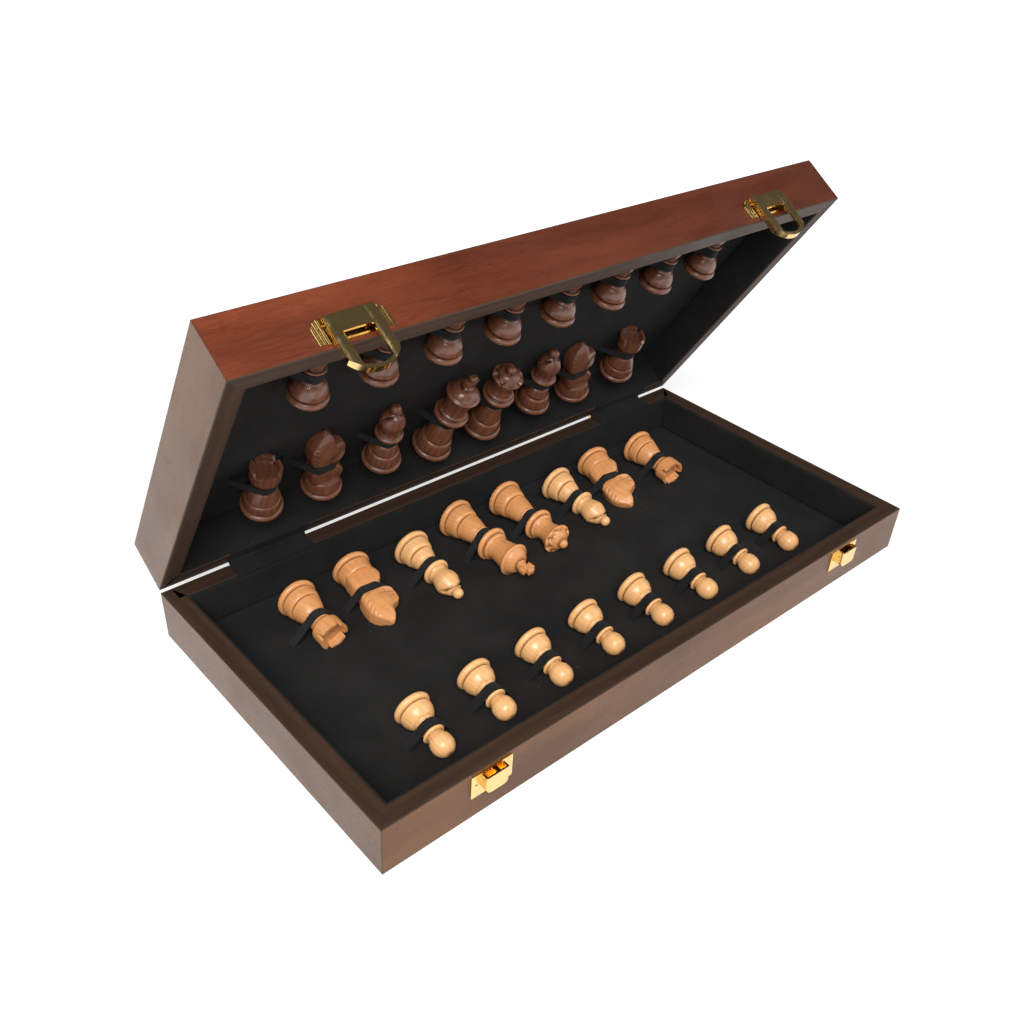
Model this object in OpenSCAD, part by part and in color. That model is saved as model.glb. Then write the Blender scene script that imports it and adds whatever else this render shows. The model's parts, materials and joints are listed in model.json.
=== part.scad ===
// Folding chess case: two felt-lined wooden trays hinged along one long side,
// two swinging catches on the other, and a chessman under each elastic loop.
// The base stands on z = 0 with its centre at the origin. The hinges are on
// the +Y side and the catches on the -Y side. The lid is drawn as the base is,
// mirrored across the seam, and then turned open about the hinge line.

/* [Board] */
// Side of one square of the playing board
square_s = 46; // [38:0.5:56]
// Width of the plain border outside the squares
border_w = 6; // [5:0.5:8]
// Thickness of the ply panel that closes each half
ply_t = 2.6; // [2:0.1:4]
// Thickness of the veneer squares laid on the ply
veneer_t = 0.6; // [0.4:0.1:1]
// Glue line left between neighbouring squares
veneer_joint = 0.04; // [0.02:0.01:0.2]

/* [Case] */
// Height of one half, outside
half_h = 28.5; // [23:0.5:36]
// Thickness of the rails
wall_t = 9.5; // [8.5:0.5:13]
// Radius that eases the long edges of the case
edge_r = 1.2; // [0.5:0.1:2]
// Radius of the upright corners of the case
corner_r = 1.6; // [0.5:0.1:3]
// Gap left between the two rims when the case is shut
seam_gap = 0.2; // [0.1:0.1:0.6]
// Angle by which the lid stands open in the drawing
open_deg = 57.4; // [0:0.1:180]

/* [Felt] */
// Thickness of the felt lining
felt_t = 0.8; // [0.5:0.1:1.5]
// Bare wood left above the felt on the inner walls
felt_drop = 0.6; // [0.2:0.1:2]

/* [Hinges] */
// Length of each hinge leaf
hinge_l = 44; // [30:1:60]
// Centre of the left hinge from the left end of the case
left_hinge_in = 61.5; // [45:0.5:80]
// Centre of the right hinge from the right end of the case
right_hinge_in = 50; // [45:0.5:80]
// Thickness of a hinge leaf
leaf_t = 1; // [0.8:0.1:1.2]
// Outer diameter of the hinge knuckles
knuckle_d = 3.6; // [3:0.1:4]
// Diameter of the hinge pins
hinge_pin_d = 1.8; // [1.2:0.1:2.2]
// Radial clearance of every pin in its bores
pin_clear = 0.04; // [0.02:0.01:0.1]
// Distance of the hinge pins behind the back wall
axis_back = 1.5; // [1.2:0.1:2.5]
// Number of knuckles on one hinge, an odd number
knuckles = 5; // [3:2:7]
// Room at each end of a leaf in its notch
notch_end = 1.5; // [0.5:0.5:3]
// Screws through each leaf
screws_per_leaf = 3; // [2:1:4]
// Length of the hinge screws
screw_l = 7; // [5:0.5:10]

/* [Catches] */
// Centre of each catch from the near end of the case
catch_in = 58; // [35:1:80]
// Thickness of the pressed plates
plate_t = 0.8; // [0.6:0.1:1]
// Distance of the strike's block from the rim
block_from_rim = 2.6; // [2.2:0.1:4]
// Width of the strike's hollow block
block_w = 12.6; // [9:0.2:16]
// Height of the strike's hollow block
block_h = 9.6; // [8:0.2:12]
// How far the block stands out from the wall
block_out = 4.8; // [4:0.1:5]
// Width of the nailed wing on each side of the block
strike_wing = 5.4; // [4.6:0.1:8]
// Gap between the block and the sides of the hasp's window
window_clear = 0.7; // [0.5:0.1:1]
// Gap between the block and the round end of the hasp's window
end_clear = 1; // [0.8:0.1:1.6]
// Width of the two bars beside the hasp's window
bar_w = 5; // [4:0.1:6]
// Width of the hasp's bar at its round end
end_bar_w = 1.8; // [1.4:0.1:3]
// Distance of the hasp's pin from the rim
pin_from_rim = 12.5; // [11:0.5:16]
// Diameter of the hasp's pin
hasp_pin_d = 1.4; // [1:0.1:1.8]
// Outer diameter of the knuckles on the hasp's pin
hasp_knuckle_d = 3; // [2.6:0.1:3.2]
// Width of the reeded wings that the catch plate shows beside the hasp
catch_wing = 6; // [5:0.5:8]
// Length of the nails
nail_l = 7; // [4:0.5:8]

/* [Chessmen] */
// Air between two facing kings' feet when the case is shut
foot_air = 0.8; // [0.4:0.1:3]
// Clearance between a lying chessman and the felt
lie_gap = 0.2; // [0.1:0.1:0.5]
// Height of the king
king_h = 64.5; // [56:0.5:72]
// Height of the queen
queen_h = 58; // [50:0.5:66]
// Height of a bishop
bishop_h = 50; // [44:0.5:58]
// Height of a knight
knight_h = 50; // [42:0.5:56]
// Height of a rook
rook_h = 40; // [34:0.5:46]
// Height of a pawn
pawn_h = 31.5; // [27:0.5:38]
// Foot of the queen as a share of the king's foot
queen_foot = 0.98; // [0.9:0.01:1]
// Foot of a bishop, knight or rook as a share of the king's foot
officer_foot = 0.94; // [0.85:0.01:1]
// Foot of a pawn as a share of the king's foot
pawn_foot = 0.81; // [0.7:0.01:0.9]
// Distance of the first and last column from the inner end walls
column_in = 49; // [35:1:60]
// Distance of the king's foot from the hinge-side wall
back_row_in = 12.5; // [6:0.5:20]
// Distance of the pawns' heads from the catch-side wall
pawn_row_in = 19.5; // [6:0.5:30]

/* [Elastic loops] */
// Width of the elastic
elastic_w = 5; // [3:0.5:6]
// Thickness of the elastic
elastic_t = 0.8; // [0.5:0.1:1.2]
// Clearance between the elastic and the man it holds
elastic_clear = 0.35; // [0.2:0.05:0.6]

/* [Hidden] */
$fn = 64;
cut = 1; // how far cutting bodies run past the surfaces they cut

// Case sizes worked out from the board
box_l = 8 * square_s + 2 * border_w;
box_w = 4 * square_s + border_w;
panel_t = ply_t + veneer_t;
inner_l = box_l - 2 * wall_t;
inner_w = box_w - 2 * wall_t;
floor_z = panel_t + felt_t;
seam_z = half_h + seam_gap / 2;

// Hinge places
flap_gap = 0.2; // air between the flap over a hinge and the rim
axis_y = box_w / 2 + axis_back;
notch_d = leaf_t + felt_t + flap_gap;
notch_l = hinge_l + 2 * notch_end;
leaf_z = half_h - notch_d;
hinge_xs = [-box_l / 2 + left_hinge_in, box_l / 2 - right_hinge_in];
knuckle_l = hinge_l / knuckles;
knuckle_play = 0.1;
swing_room = 0.3; // room round the knuckles for the other leaf
screw_y = box_w / 2 - wall_t / 2 + 0.4;
screw_head_r = 1.8;
screw_shank_r = 0.9;
screw_sink = 0.9;
hole_clear = 0.05;

// Catch sizes that follow from the strike's block
catch_xs = [-box_l / 2 + catch_in, box_l / 2 - catch_in];
sheet_t = 0.9; // metal of the block and of the hasp
block_round = 3;
strike_rim_gap = 2;
strike_below = 3; // plate below the block
strike_w = block_w + 2 * strike_wing;
strike_h = block_from_rim - strike_rim_gap + block_h + strike_below;
nail_head_r = 1.3;
nail_head_t = 0.5;
nail_shank_r = 0.5;
window_w = block_w + 2 * window_clear;
hasp_w = window_w + 2 * bar_w;
hasp_back = plate_t + 0.4;
hasp_face = 3;
hasp_front = 4.2;
bar_crown = 0.8;
web_crown = 0.4;
window_top = 4.5; // window's upper edge, above the seam
window_r = window_w / 2 + 5.2;
arc_y = block_from_rim + block_h + end_clear - window_r;
arc_r = window_r + end_bar_w;
pin_out = plate_t + hasp_knuckle_d / 2 + 0.2;
plate_rim_gap = 2.5;
plate_rise = 1.5; // catch plate's height past the pin
catch_nail_in = 3.5; // catch nails' distance in from the hasp's sides
catch_nail_x = hasp_w / 2 - catch_nail_in;
catch_nail_y = 8;

// Chessmen: the kings' feet fill the depth of the two halves
king_foot_r = (seam_z - floor_z - lie_gap - foot_air / 2) / 2;
queen_foot_r = king_foot_r * queen_foot;
officer_foot_r = king_foot_r * officer_foot;
pawn_foot_r = king_foot_r * pawn_foot;
column_pitch = (inner_l - 2 * column_in) / 7;
back_y = inner_w / 2 - back_row_in;
pawn_y = -inner_w / 2 + pawn_row_in + pawn_h;

// Elastics
bend_steps = 12; // faces round each corner of the held shape

// Colours
mahogany = [0.42, 0.22, 0.15];
ply_brown = [0.62, 0.46, 0.3];
maple = [0.86, 0.7, 0.46];
felt_black = [0.1, 0.11, 0.11];
elastic_black = [0.14, 0.15, 0.15];
brass = [0.88, 0.72, 0.32];
boxwood = [0.9, 0.68, 0.42];
rosewood = [0.36, 0.19, 0.13];

// Carries a drawing of the base over to the lid, and opens it about the hinge line
module in_lid() {
    translate([0, axis_y, seam_z])
        rotate([-open_deg, 0, 0])
            translate([0, -axis_y, seam_z])
                mirror([0, 0, 1])
                    children();
}

// Rectangle with round corners, centred on the origin
module round_rect(w, h, r) {
    square([w - 2 * r, h], center = true);
    square([w, h - 2 * r], center = true);
    for (x = [-1, 1])
        for (y = [-1, 1])
            translate([x * (w / 2 - r), y * (h / 2 - r)])
                circle(r);
}

// Outer form of one half, with eased edges and rounded upright corners
module case_form() {
    intersection() {
        linear_extrude(half_h)
            round_rect(box_l, box_w, corner_r);
        rotate([90, 0, 90])
            linear_extrude(box_l + cut, center = true)
                translate([0, half_h / 2])
                    round_rect(box_w, half_h, edge_r);
        rotate([90, 0, 0])
            linear_extrude(box_w + cut, center = true)
                translate([0, half_h / 2])
                    round_rect(box_l, half_h, edge_r);
    }
}

// Recess of the panel: framed on three sides, and open at the hinge side
module panel_space(z0, z1) {
    translate([-box_l / 2 + border_w, -box_w / 2 + border_w, z0])
        cube([box_l - 2 * border_w, box_w - border_w + cut, z1 - z0]);
}

// The two hinge notches, from a given depth behind the back wall's face
module notch_spaces(y0) {
    for (x = hinge_xs)
        translate([x - notch_l / 2, y0, leaf_z])
            cube([notch_l, box_w / 2 + cut - y0, notch_d + cut]);
}

// Plan of a rail with mitred ends, laid along the front
module mitre_plan(length, across) {
    deep = wall_t + cut;
    polygon([
        [-length / 2, -across / 2],
        [length / 2, -across / 2],
        [length / 2 - deep, -across / 2 + deep],
        [-length / 2 + deep, -across / 2 + deep]
    ]);
}

// One rail of the frame; a turn of 0 is the front rail
module rail(turn) {
    side = abs(turn) == 90;
    intersection() {
        difference() {
            case_form();
            translate([-inner_l / 2, -inner_w / 2, -cut])
                cube([inner_l, inner_w, half_h + 2 * cut]);
            panel_space(-cut, panel_t);
        }
        translate([0, 0, -cut])
            linear_extrude(half_h + 2 * cut)
                rotate(turn)
                    mitre_plan(side ? box_w : box_l, side ? box_l : box_w);
    }
}

module side_rail(turn) {
    color(mahogany)
        rail(turn);
}

// Front rail with the nail holes of its two plates
module front_rail(nail_x, nail_y) {
    color(mahogany)
        difference() {
            rail(0);
            nail_places(nail_x, nail_y)
                translate([0, 0, -nail_l + plate_t - hole_clear])
                    cylinder(h = nail_l + cut, r = nail_shank_r + hole_clear);
        }
}

module back_rail() {
    color(mahogany)
        difference() {
            rail(180);
            notch_spaces(inner_w / 2 - cut);
            for (x = screw_xs())
                translate([x, screw_y, leaf_z + leaf_t - screw_l])
                    cylinder(h = screw_l, r = screw_shank_r + hole_clear);
        }
}

module board() {
    color(ply_brown)
        intersection() {
            case_form();
            panel_space(veneer_t, panel_t);
        }
}

// Veneer squares of one colour: parity 0 or 1 picks every other square
module squares(parity, tint) {
    side = square_s - veneer_joint;
    color(tint)
        intersection() {
            case_form();
            for (i = [0 : 7])
                for (j = [0 : 3])
                    if ((i + j) % 2 == parity)
                        translate([(i - 4) * square_s, box_w / 2 - (j + 1) * square_s, 0])
                            translate([veneer_joint / 2, veneer_joint / 2, 0])
                                cube([side, side, veneer_t]);
        }
}

// Felt glued to the floor and walls of one half
module lining() {
    top = half_h - felt_drop;
    color(felt_black)
        difference() {
            translate([-inner_l / 2, -inner_w / 2, panel_t])
                cube([inner_l, inner_w, top - panel_t]);
            translate([-inner_l / 2 + felt_t, -inner_w / 2 + felt_t, floor_z])
                cube([inner_l - 2 * felt_t, inner_w - 2 * felt_t, half_h]);
            notch_spaces(inner_w / 2 - felt_t - cut);
        }
}

// Felt flap laid over each leaf in its notch
module hinge_flaps() {
    side_gap = 0.2;
    reach = axis_back - knuckle_d / 2 - swing_room;
    color(felt_black)
        for (x = hinge_xs)
            translate([x - notch_l / 2 + side_gap, inner_w / 2 - felt_t, leaf_z + leaf_t])
                cube([notch_l - 2 * side_gap, wall_t + felt_t + reach, felt_t]);
}

// Leaf let into a notch, with every other knuckle from the given one on
module hinge_leaf(x, first) {
    edge_y = axis_y - knuckle_d / 2 - 2 * swing_room;
    leaf_y = inner_w / 2 + 0.4;
    color(brass)
        difference() {
            union() {
                translate([x - hinge_l / 2, leaf_y, leaf_z])
                    cube([hinge_l, edge_y - leaf_y, leaf_t]);
                for (k = [first : 2 : knuckles - 1])
                    translate([x - hinge_l / 2 + k * knuckle_l + knuckle_play / 2, axis_y, 0]) {
                        translate([0, edge_y - axis_y - cut, leaf_z])
                            cube([knuckle_l - knuckle_play, axis_y - edge_y + cut, leaf_t]);
                        translate([0, 0, seam_z])
                            rotate([0, 90, 0])
                                cylinder(h = knuckle_l - knuckle_play, d = knuckle_d);
                    }
            }
            translate([x - hinge_l / 2 - cut, axis_y, seam_z])
                rotate([0, 90, 0])
                    cylinder(h = hinge_l + 2 * cut, r = hinge_pin_d / 2 + pin_clear);
            for (sx = screw_xs())
                if (abs(sx - x) < hinge_l / 2)
                    translate([sx, screw_y, leaf_z + leaf_t])
                        countersink(leaf_t);
        }
}

module hinge_pin(x) {
    color(brass)
        translate([x - hinge_l / 2, axis_y, seam_z])
            rotate([0, 90, 0])
                cylinder(h = hinge_l, d = hinge_pin_d);
}

// Places of the hinge screws along both leaves
function screw_xs() = [
    for (x = hinge_xs)
        for (k = [0 : screws_per_leaf - 1])
            x + hinge_l * ((k + 0.5) / screws_per_leaf - 0.5)
];

// Hole for a countersunk screw, through a plate of the given thickness under z = 0
module countersink(t) {
    r = screw_shank_r + hole_clear;
    head_r = screw_head_r + hole_clear;
    rotate_extrude()
        polygon([[0, -t - cut], [r, -t - cut], [r, -screw_sink], [head_r, 0], [head_r, cut], [0, cut]]);
}

module hinge_screws() {
    slot_w = 0.5;
    slot_d = 0.4;
    point_l = 2;
    color(brass)
        for (x = screw_xs())
            translate([x, screw_y, leaf_z + leaf_t])
                difference() {
                    rotate_extrude()
                        polygon([
                            [0, 0],
                            [screw_head_r, 0],
                            [screw_shank_r, -screw_sink],
                            [screw_shank_r, -screw_l + point_l],
                            [0, -screw_l]
                        ]);
                    translate([-screw_head_r - cut, -slot_w / 2, -slot_d])
                        cube([2 * (screw_head_r + cut), slot_w, slot_d + cut]);
                }
}

// Drawing plane of the catches: x along the front wall, y up from the rim, z out of the wall
module on_front_wall(x) {
    translate([x, -box_w / 2, half_h])
        rotate([90, 0, 0])
            children();
}

// Repeats its children at the two nails of both plates
module nail_places(nail_x, nail_y) {
    for (x = catch_xs)
        for (s = [-1, 1])
            on_front_wall(x + s * nail_x)
                translate([0, -nail_y, 0])
                    children();
}

module nails(nail_x, nail_y) {
    dome_r = (nail_head_r * nail_head_r + nail_head_t * nail_head_t) / (2 * nail_head_t);
    point_l = 1.5;
    color(brass)
        nail_places(nail_x, nail_y)
            translate([0, 0, plate_t])
                rotate_extrude() {
                    polygon([[0, 0], [nail_shank_r, 0], [nail_shank_r, point_l - nail_l], [0, -nail_l]]);
                    intersection() {
                        translate([0, nail_head_t - dome_r])
                            circle(dome_r);
                        square([nail_head_r, nail_head_t]);
                    }
                }
}

// Nail holes through a plate
module plate_nail_holes(nail_x, nail_y) {
    for (s = [-1, 1])
        translate([s * nail_x, -nail_y, -cut])
            cylinder(h = plate_t + 2 * cut, r = nail_shank_r + hole_clear);
}

strike_nail_x = (strike_w + block_w) / 4;
strike_nail_y = strike_rim_gap + strike_h / 2;

// Front outline of the strike's block, with its two lower corners well rounded
module block_outline(inset) {
    w = block_w - 2 * inset;
    h = block_h - inset;
    r = block_round - inset;
    translate([0, -block_from_rim]) {
        translate([-w / 2, -h + r])
            square([w, h - r]);
        translate([-w / 2 + r, -h])
            square([w - 2 * r, h]);
        for (s = [-1, 1])
            translate([s * (w / 2 - r), -h + r])
                circle(r);
    }
}

// Strike on the base's front: nailed wings and a hollow block, open towards the rim
module strike(x) {
    rivet_r = 0.85;
    rivet_in = 1.1;
    face_r = 0.8;
    color(brass)
        on_front_wall(x) {
            difference() {
                union() {
                    translate([0, -strike_rim_gap - strike_h / 2, 0])
                        linear_extrude(plate_t)
                            round_rect(strike_w, strike_h, 0.8);
                    intersection() {
                        linear_extrude(block_out)
                            block_outline(0);
                        rotate([90, 0, 0])
                            linear_extrude(block_from_rim + block_h + cut)
                                round_rect(block_w, 2 * block_out, face_r);
                    }
                }
                translate([0, 0, plate_t])
                    linear_extrude(block_out - sheet_t - plate_t)
                        block_outline(sheet_t);
                translate([-block_w / 2 + sheet_t, -block_from_rim - cut, plate_t])
                    cube([block_w - 2 * sheet_t, 2 * cut, block_out - sheet_t - plate_t]);
                plate_nail_holes(strike_nail_x, strike_nail_y);
            }
            translate([0, -block_from_rim - rivet_in, block_out - sheet_t])
                sphere(rivet_r);
        }
}

// Outline of the catch plate: its wings fall away in a quarter round
module catch_plate_outline() {
    w = hasp_w + 2 * catch_wing;
    top = pin_from_rim + plate_rise;
    translate([-w / 2, -top + catch_wing])
        square([w, top - catch_wing - plate_rim_gap]);
    translate([-hasp_w / 2, -top])
        square([hasp_w, top - plate_rim_gap]);
    for (s = [-1, 1])
        translate([s * hasp_w / 2, -top + catch_wing])
            circle(catch_wing);
}

// Catch plate on the lid's front: three reeds on each wing and the middle knuckle
module catch_plate(x) {
    reed_r = 0.65;
    reed_step = catch_wing * 0.3;
    color(brass)
        on_front_wall(x)
            difference() {
                union() {
                    linear_extrude(plate_t)
                        catch_plate_outline();
                    intersection() {
                        linear_extrude(plate_t + reed_r)
                            catch_plate_outline();
                        for (s = [-1, 1])
                            for (k = [0 : 2])
                                translate([s * (hasp_w / 2 + 1.3 + k * reed_step), 0, plate_t])
                                    rotate([90, 0, 0])
                                        cylinder(h = pin_from_rim + plate_rise, r = reed_r);
                    }
                    translate([-hasp_gap_w() / 2 + knuckle_play, -pin_from_rim, pin_out])
                        rotate([0, 90, 0])
                            cylinder(h = hasp_gap_w() - 2 * knuckle_play, d = hasp_knuckle_d);
                    translate([-hasp_gap_w() / 2 + knuckle_play, -pin_from_rim - hasp_knuckle_d / 2, 0])
                        cube([hasp_gap_w() - 2 * knuckle_play, hasp_knuckle_d, pin_out]);
                }
                translate([-hasp_w, -pin_from_rim, pin_out])
                    rotate([0, 90, 0])
                        cylinder(h = 2 * hasp_w, r = hasp_pin_d / 2 + pin_clear);
                plate_nail_holes(catch_nail_x, catch_nail_y);
            }
}

// Width of the gap between the hasp's two knuckles, where the plate's knuckle sits
function hasp_gap_w() = window_w - 4;

// Outline of the hasp, drawn in by a given amount: straight sides and a round end
module hasp_outline(inset) {
    w = hasp_w - 2 * inset;
    translate([-w / 2, -pin_from_rim])
        square([w, pin_from_rim + arc_y]);
    intersection() {
        translate([0, arc_y])
            circle(arc_r - inset);
        translate([-w / 2, arc_y])
            square([w, arc_r]);
    }
}

module window_outline() {
    translate([-window_w / 2, -window_top])
        square([window_w, window_top + arc_y]);
    intersection() {
        translate([0, arc_y])
            circle(window_r);
        translate([-window_w / 2, arc_y])
            square([window_w, window_r]);
    }
}

// Long crown along y: a slice of a cylinder over a strip of the given width
module crown(w, rise) {
    r = (w * w / 4 + rise * rise) / (2 * rise);
    intersection() {
        translate([0, 0, hasp_front + rise - r])
            rotate([90, 0, 0])
                cylinder(h = 2 * (pin_from_rim + arc_r), r = r, center = true);
        translate([-w / 2, -pin_from_rim - arc_r, hasp_face])
            cube([w, 2 * (pin_from_rim + arc_r), hasp_front - hasp_face + rise]);
    }
}

// Swinging hasp: two crowned bars round a window, a crowned web at the pin, and a
// turned-back lip round its outer edge
module hasp(x) {
    lip_t = 1.1;
    lip_from_pin = 3;
    groove = 0.5;
    bar_x = (window_w + bar_w) / 2;
    height = hasp_front + bar_crown;
    color(brass)
        on_front_wall(x)
            difference() {
                union() {
                    translate([0, 0, hasp_face])
                        linear_extrude(hasp_front - hasp_face)
                            hasp_outline(0);
                    translate([0, 0, hasp_back])
                        linear_extrude(hasp_front - hasp_back)
                            difference() {
                                hasp_outline(0);
                                hasp_outline(lip_t);
                                translate([-hasp_w, -pin_from_rim - cut])
                                    square([2 * hasp_w, lip_from_pin + cut]);
                            }
                    intersection() {
                        linear_extrude(height)
                            hasp_outline(0);
                        union() {
                            for (s = [-1, 1])
                                translate([s * bar_x, 0, 0])
                                    crown(bar_w - groove, bar_crown);
                            crown(window_w - 2 * groove, web_crown);
                        }
                    }
                    for (s = [-1, 1])
                        translate([s * (hasp_w + hasp_gap_w()) / 4, -pin_from_rim, pin_out])
                            rotate([0, 90, 0])
                                cylinder(h = (hasp_w - hasp_gap_w()) / 2, d = hasp_knuckle_d, center = true);
                }
                linear_extrude(height + cut)
                    window_outline();
                translate([-hasp_gap_w() / 2, -pin_from_rim, pin_out])
                    rotate([0, 90, 0])
                        cylinder(h = hasp_gap_w(), r = hasp_knuckle_d / 2 + swing_room);
                translate([-hasp_w, -pin_from_rim, pin_out])
                    rotate([0, 90, 0])
                        cylinder(h = 2 * hasp_w, r = hasp_pin_d / 2 + pin_clear);
            }
}

module hasp_pin(x) {
    color(brass)
        on_front_wall(x)
            translate([-hasp_w / 2, -pin_from_rim, pin_out])
                rotate([0, 90, 0])
                    cylinder(h = hasp_w, d = hasp_pin_d);
}

// Drawn height and foot radius of each man, and the stem that its elastic lies on
king_drawn = [64.5, 12];
queen_drawn = [58, 11.75];
bishop_drawn = [50, 11.25];
knight_drawn = [50, 11.25];
rook_drawn = [40, 11.25];
pawn_drawn = [31.5, 9.75];
king_stem = [9, 5.6, 6, 27, 2.2];
queen_stem = [8.8, 5.3, 6, 25, 2.2];
bishop_stem = [8.4, 4.9, 6, 26, 2.2];
rook_stem = [9, 6.2, 6, 24, 2];
pawn_neck = [5.6, 4.6, 13, 19.8, 3];
throat_x = 6.4; // knight's throat in front of its axis
nape_x = -11.9; // back of the knight's neck
knight_half_t = 6.2;

// The men are turned about z with the foot at z = 0. Their profiles are drawn for a
// stated height and foot, and $up and $out carry the scale along and across the axis.
module turned(h, foot_r, drawn_h, drawn_r) {
    $up = h / drawn_h;
    $out = foot_r / drawn_r;
    rotate_extrude()
        intersection() {
            children();
            square([2 * foot_r, h]);
        }
}

// Plain cylinder of the profile
module band(r, z0, z1) {
    translate([0, z0 * $up])
        square([r * $out, (z1 - z0) * $up]);
}

// Rounded ring of the profile, of height h about z
module bead(r, z, h) {
    band(r - h / 2 * $up / $out, z - h / 2, z + h / 2);
    translate([r * $out - h / 2 * $up, z * $up])
        circle(d = h * $up);
}

// Radius between two stations: a bend above 1 hollows the curve, below 1 swells it
function waist(r0, r1, bend, t) = r1 + (r0 - r1) * pow(1 - t, bend);

// Curved stretch of the profile from one radius to another
module stem(r0, r1, z0, z1, bend) {
    steps = 8;
    polygon(concat(
        [[0, z0 * $up]],
        [for (i = [0 : steps]) [$out * waist(r0, r1, bend, i / steps), $up * (z0 + (z1 - z0) * i / steps)]],
        [[0, z1 * $up]]
    ));
}

// Ball of the profile
module ball(r, z) {
    translate([0, z * $up])
        circle(r * $out);
}

// Stem given as a list: first radius, last radius, first station, last station, bend
module stem_of(s) {
    stem(s[0], s[1], s[2], s[3], s[4]);
}

// Foot shared by the men: a thick disc, a bead and a step
module foot(r) {
    bead(r, 1.9, 3.8);
    bead(r - 1.3, 4.6, 2);
    band(r - 2.6, 5, 6.4);
}

module king() {
    body_h = 59; // of the drawn king, up to its cross
    color(tint_of_set())
        union() {
            turned(king_h * body_h / king_drawn[0], king_foot_r, body_h, king_drawn[1]) {
                foot(king_drawn[1]);
                stem_of(king_stem);
                bead(6.8, 27.4, 1.6);
                band(6, 27.4, 33);
                bead(8.8, 30.6, 2.2);
                bead(6.8, 33.2, 1.6);
                stem(5.8, 4.9, 32, 38, 2);
                stem(4.9, 8.8, 38, 49, 0.55);
                bead(9.1, 49.6, 1.6);
                stem(8.6, 3, 50.2, 55, 0.5);
                ball(2.7, 56);
            }
            translate([0, 0, king_h * 0.905])
                cross(king_h * 0.095);
        }
}

// Small flared cross on the king
module cross(h) {
    arm = h / 2;
    rotate([90, 0, 0])
        linear_extrude(0.34 * h, center = true)
            translate([0, arm])
                for (a = [0 : 90 : 270])
                    rotate(a)
                        polygon([[-0.12 * h, 0], [0.12 * h, 0], [0.24 * h, arm], [-0.24 * h, arm]]);
}

module queen() {
    r = queen_foot_r;
    notches = 8;
    color(tint_of_set())
        union() {
            difference() {
                turned(queen_h, r, queen_drawn[0], queen_drawn[1]) {
                    foot(queen_drawn[1]);
                    stem_of(queen_stem);
                    bead(6.5, 25.4, 1.6);
                    band(5.8, 25.4, 30.6);
                    bead(8.4, 28.6, 2.2);
                    bead(6.4, 31, 1.6);
                    stem(5.6, 4.6, 30, 36, 2);
                    stem(4.6, 9, 36, 49.5, 0.62);
                    stem(7.6, 3, 49.5, 53.4, 0.5);
                    ball(2.9, 55.1);
                }
                for (k = [0 : notches - 1])
                    rotate(k * 360 / notches)
                        translate([0.62 * r, 0, queen_h * 0.864])
                            rotate([0, 90, 0])
                                cylinder(h = r, r = 0.115 * r);
            }
        }
}

module bishop() {
    r = officer_foot_r;
    color(tint_of_set())
        difference() {
            turned(bishop_h, r, bishop_drawn[0], bishop_drawn[1]) {
                foot(bishop_drawn[1]);
                stem_of(bishop_stem);
                bead(6, 26.4, 1.6);
                band(5.4, 26.4, 31.4);
                bead(7.7, 29.4, 2);
                bead(5.8, 31.6, 1.6);
                stem(4.6, 6.6, 32, 37.5, 0.6);
                stem(6.6, 1.6, 37.4, 47, 0.6);
                ball(1.9, 48.1);
            }
            translate([0.32 * r, 0, 0.86 * bishop_h])
                rotate([0, -35, 0])
                    cube([r, 2 * r, 0.024 * bishop_h], center = true);
        }
}

module rook() {
    r = officer_foot_r;
    rim_r = r * 8.75 / 11.25;
    saw_w = 0.26 * r;
    color(tint_of_set())
        difference() {
            turned(rook_h, r, rook_drawn[0], rook_drawn[1]) {
                foot(rook_drawn[1]);
                stem_of(rook_stem);
                bead(7.4, 24.6, 1.6);
                stem(6.4, 8.75, 25, 30.5, 0.6);
                band(8.75, 30.4, 40);
            }
            translate([0, 0, 0.9 * rook_h])
                cylinder(h = rook_h, r = 0.72 * rim_r);
            for (a = [45, 135])
                rotate(a)
                    translate([-r, -saw_w / 2, 0.91 * rook_h])
                        cube([2 * r, saw_w, rook_h]);
        }
}

module pawn() {
    color(tint_of_set())
        turned(pawn_h, pawn_foot_r, pawn_drawn[0], pawn_drawn[1]) {
            bead(9.75, 1.8, 3.6);
            band(8.9, 1, 4.2);
            stem(9.2, 6.4, 4, 12.6, 0.55);
            bead(7, 12.6, 1.4);
            stem_of(pawn_neck);
            bead(7.4, 20.3, 1.7);
            ball(7.1, 24.4);
        }
}

// Side view of a knight's head and neck, facing +x, on its turned foot
module knight_outline(r, h) {
    k = h / knight_drawn[0];
    q = r / knight_drawn[1];
    polygon([
        for (p = [
            [9.4, 9], [10.8, 12], [9.9, 15.6], [7.9, 18.4], [throat_x, 20.4], [throat_x, 25.9],
            [8.6, 26.6], [11.4, 26.2], [12.6, 27.8], [12.3, 30.8], [9.8, 35.2], [7.9, 39.2],
            [5.8, 42], [2.6, 45], [-0.8, 47.2], [-3.4, 50], [-5.6, 47.8], [-9, 48.4], [-11.8, 46.6],
            [-12.9, 42], [-12.8, 36], [nape_x, 28], [-10.4, 20], [-9.4, 14], [-9.4, 9]
        ]) [p[0] * q, p[1] * k]
    ]);
}

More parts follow.
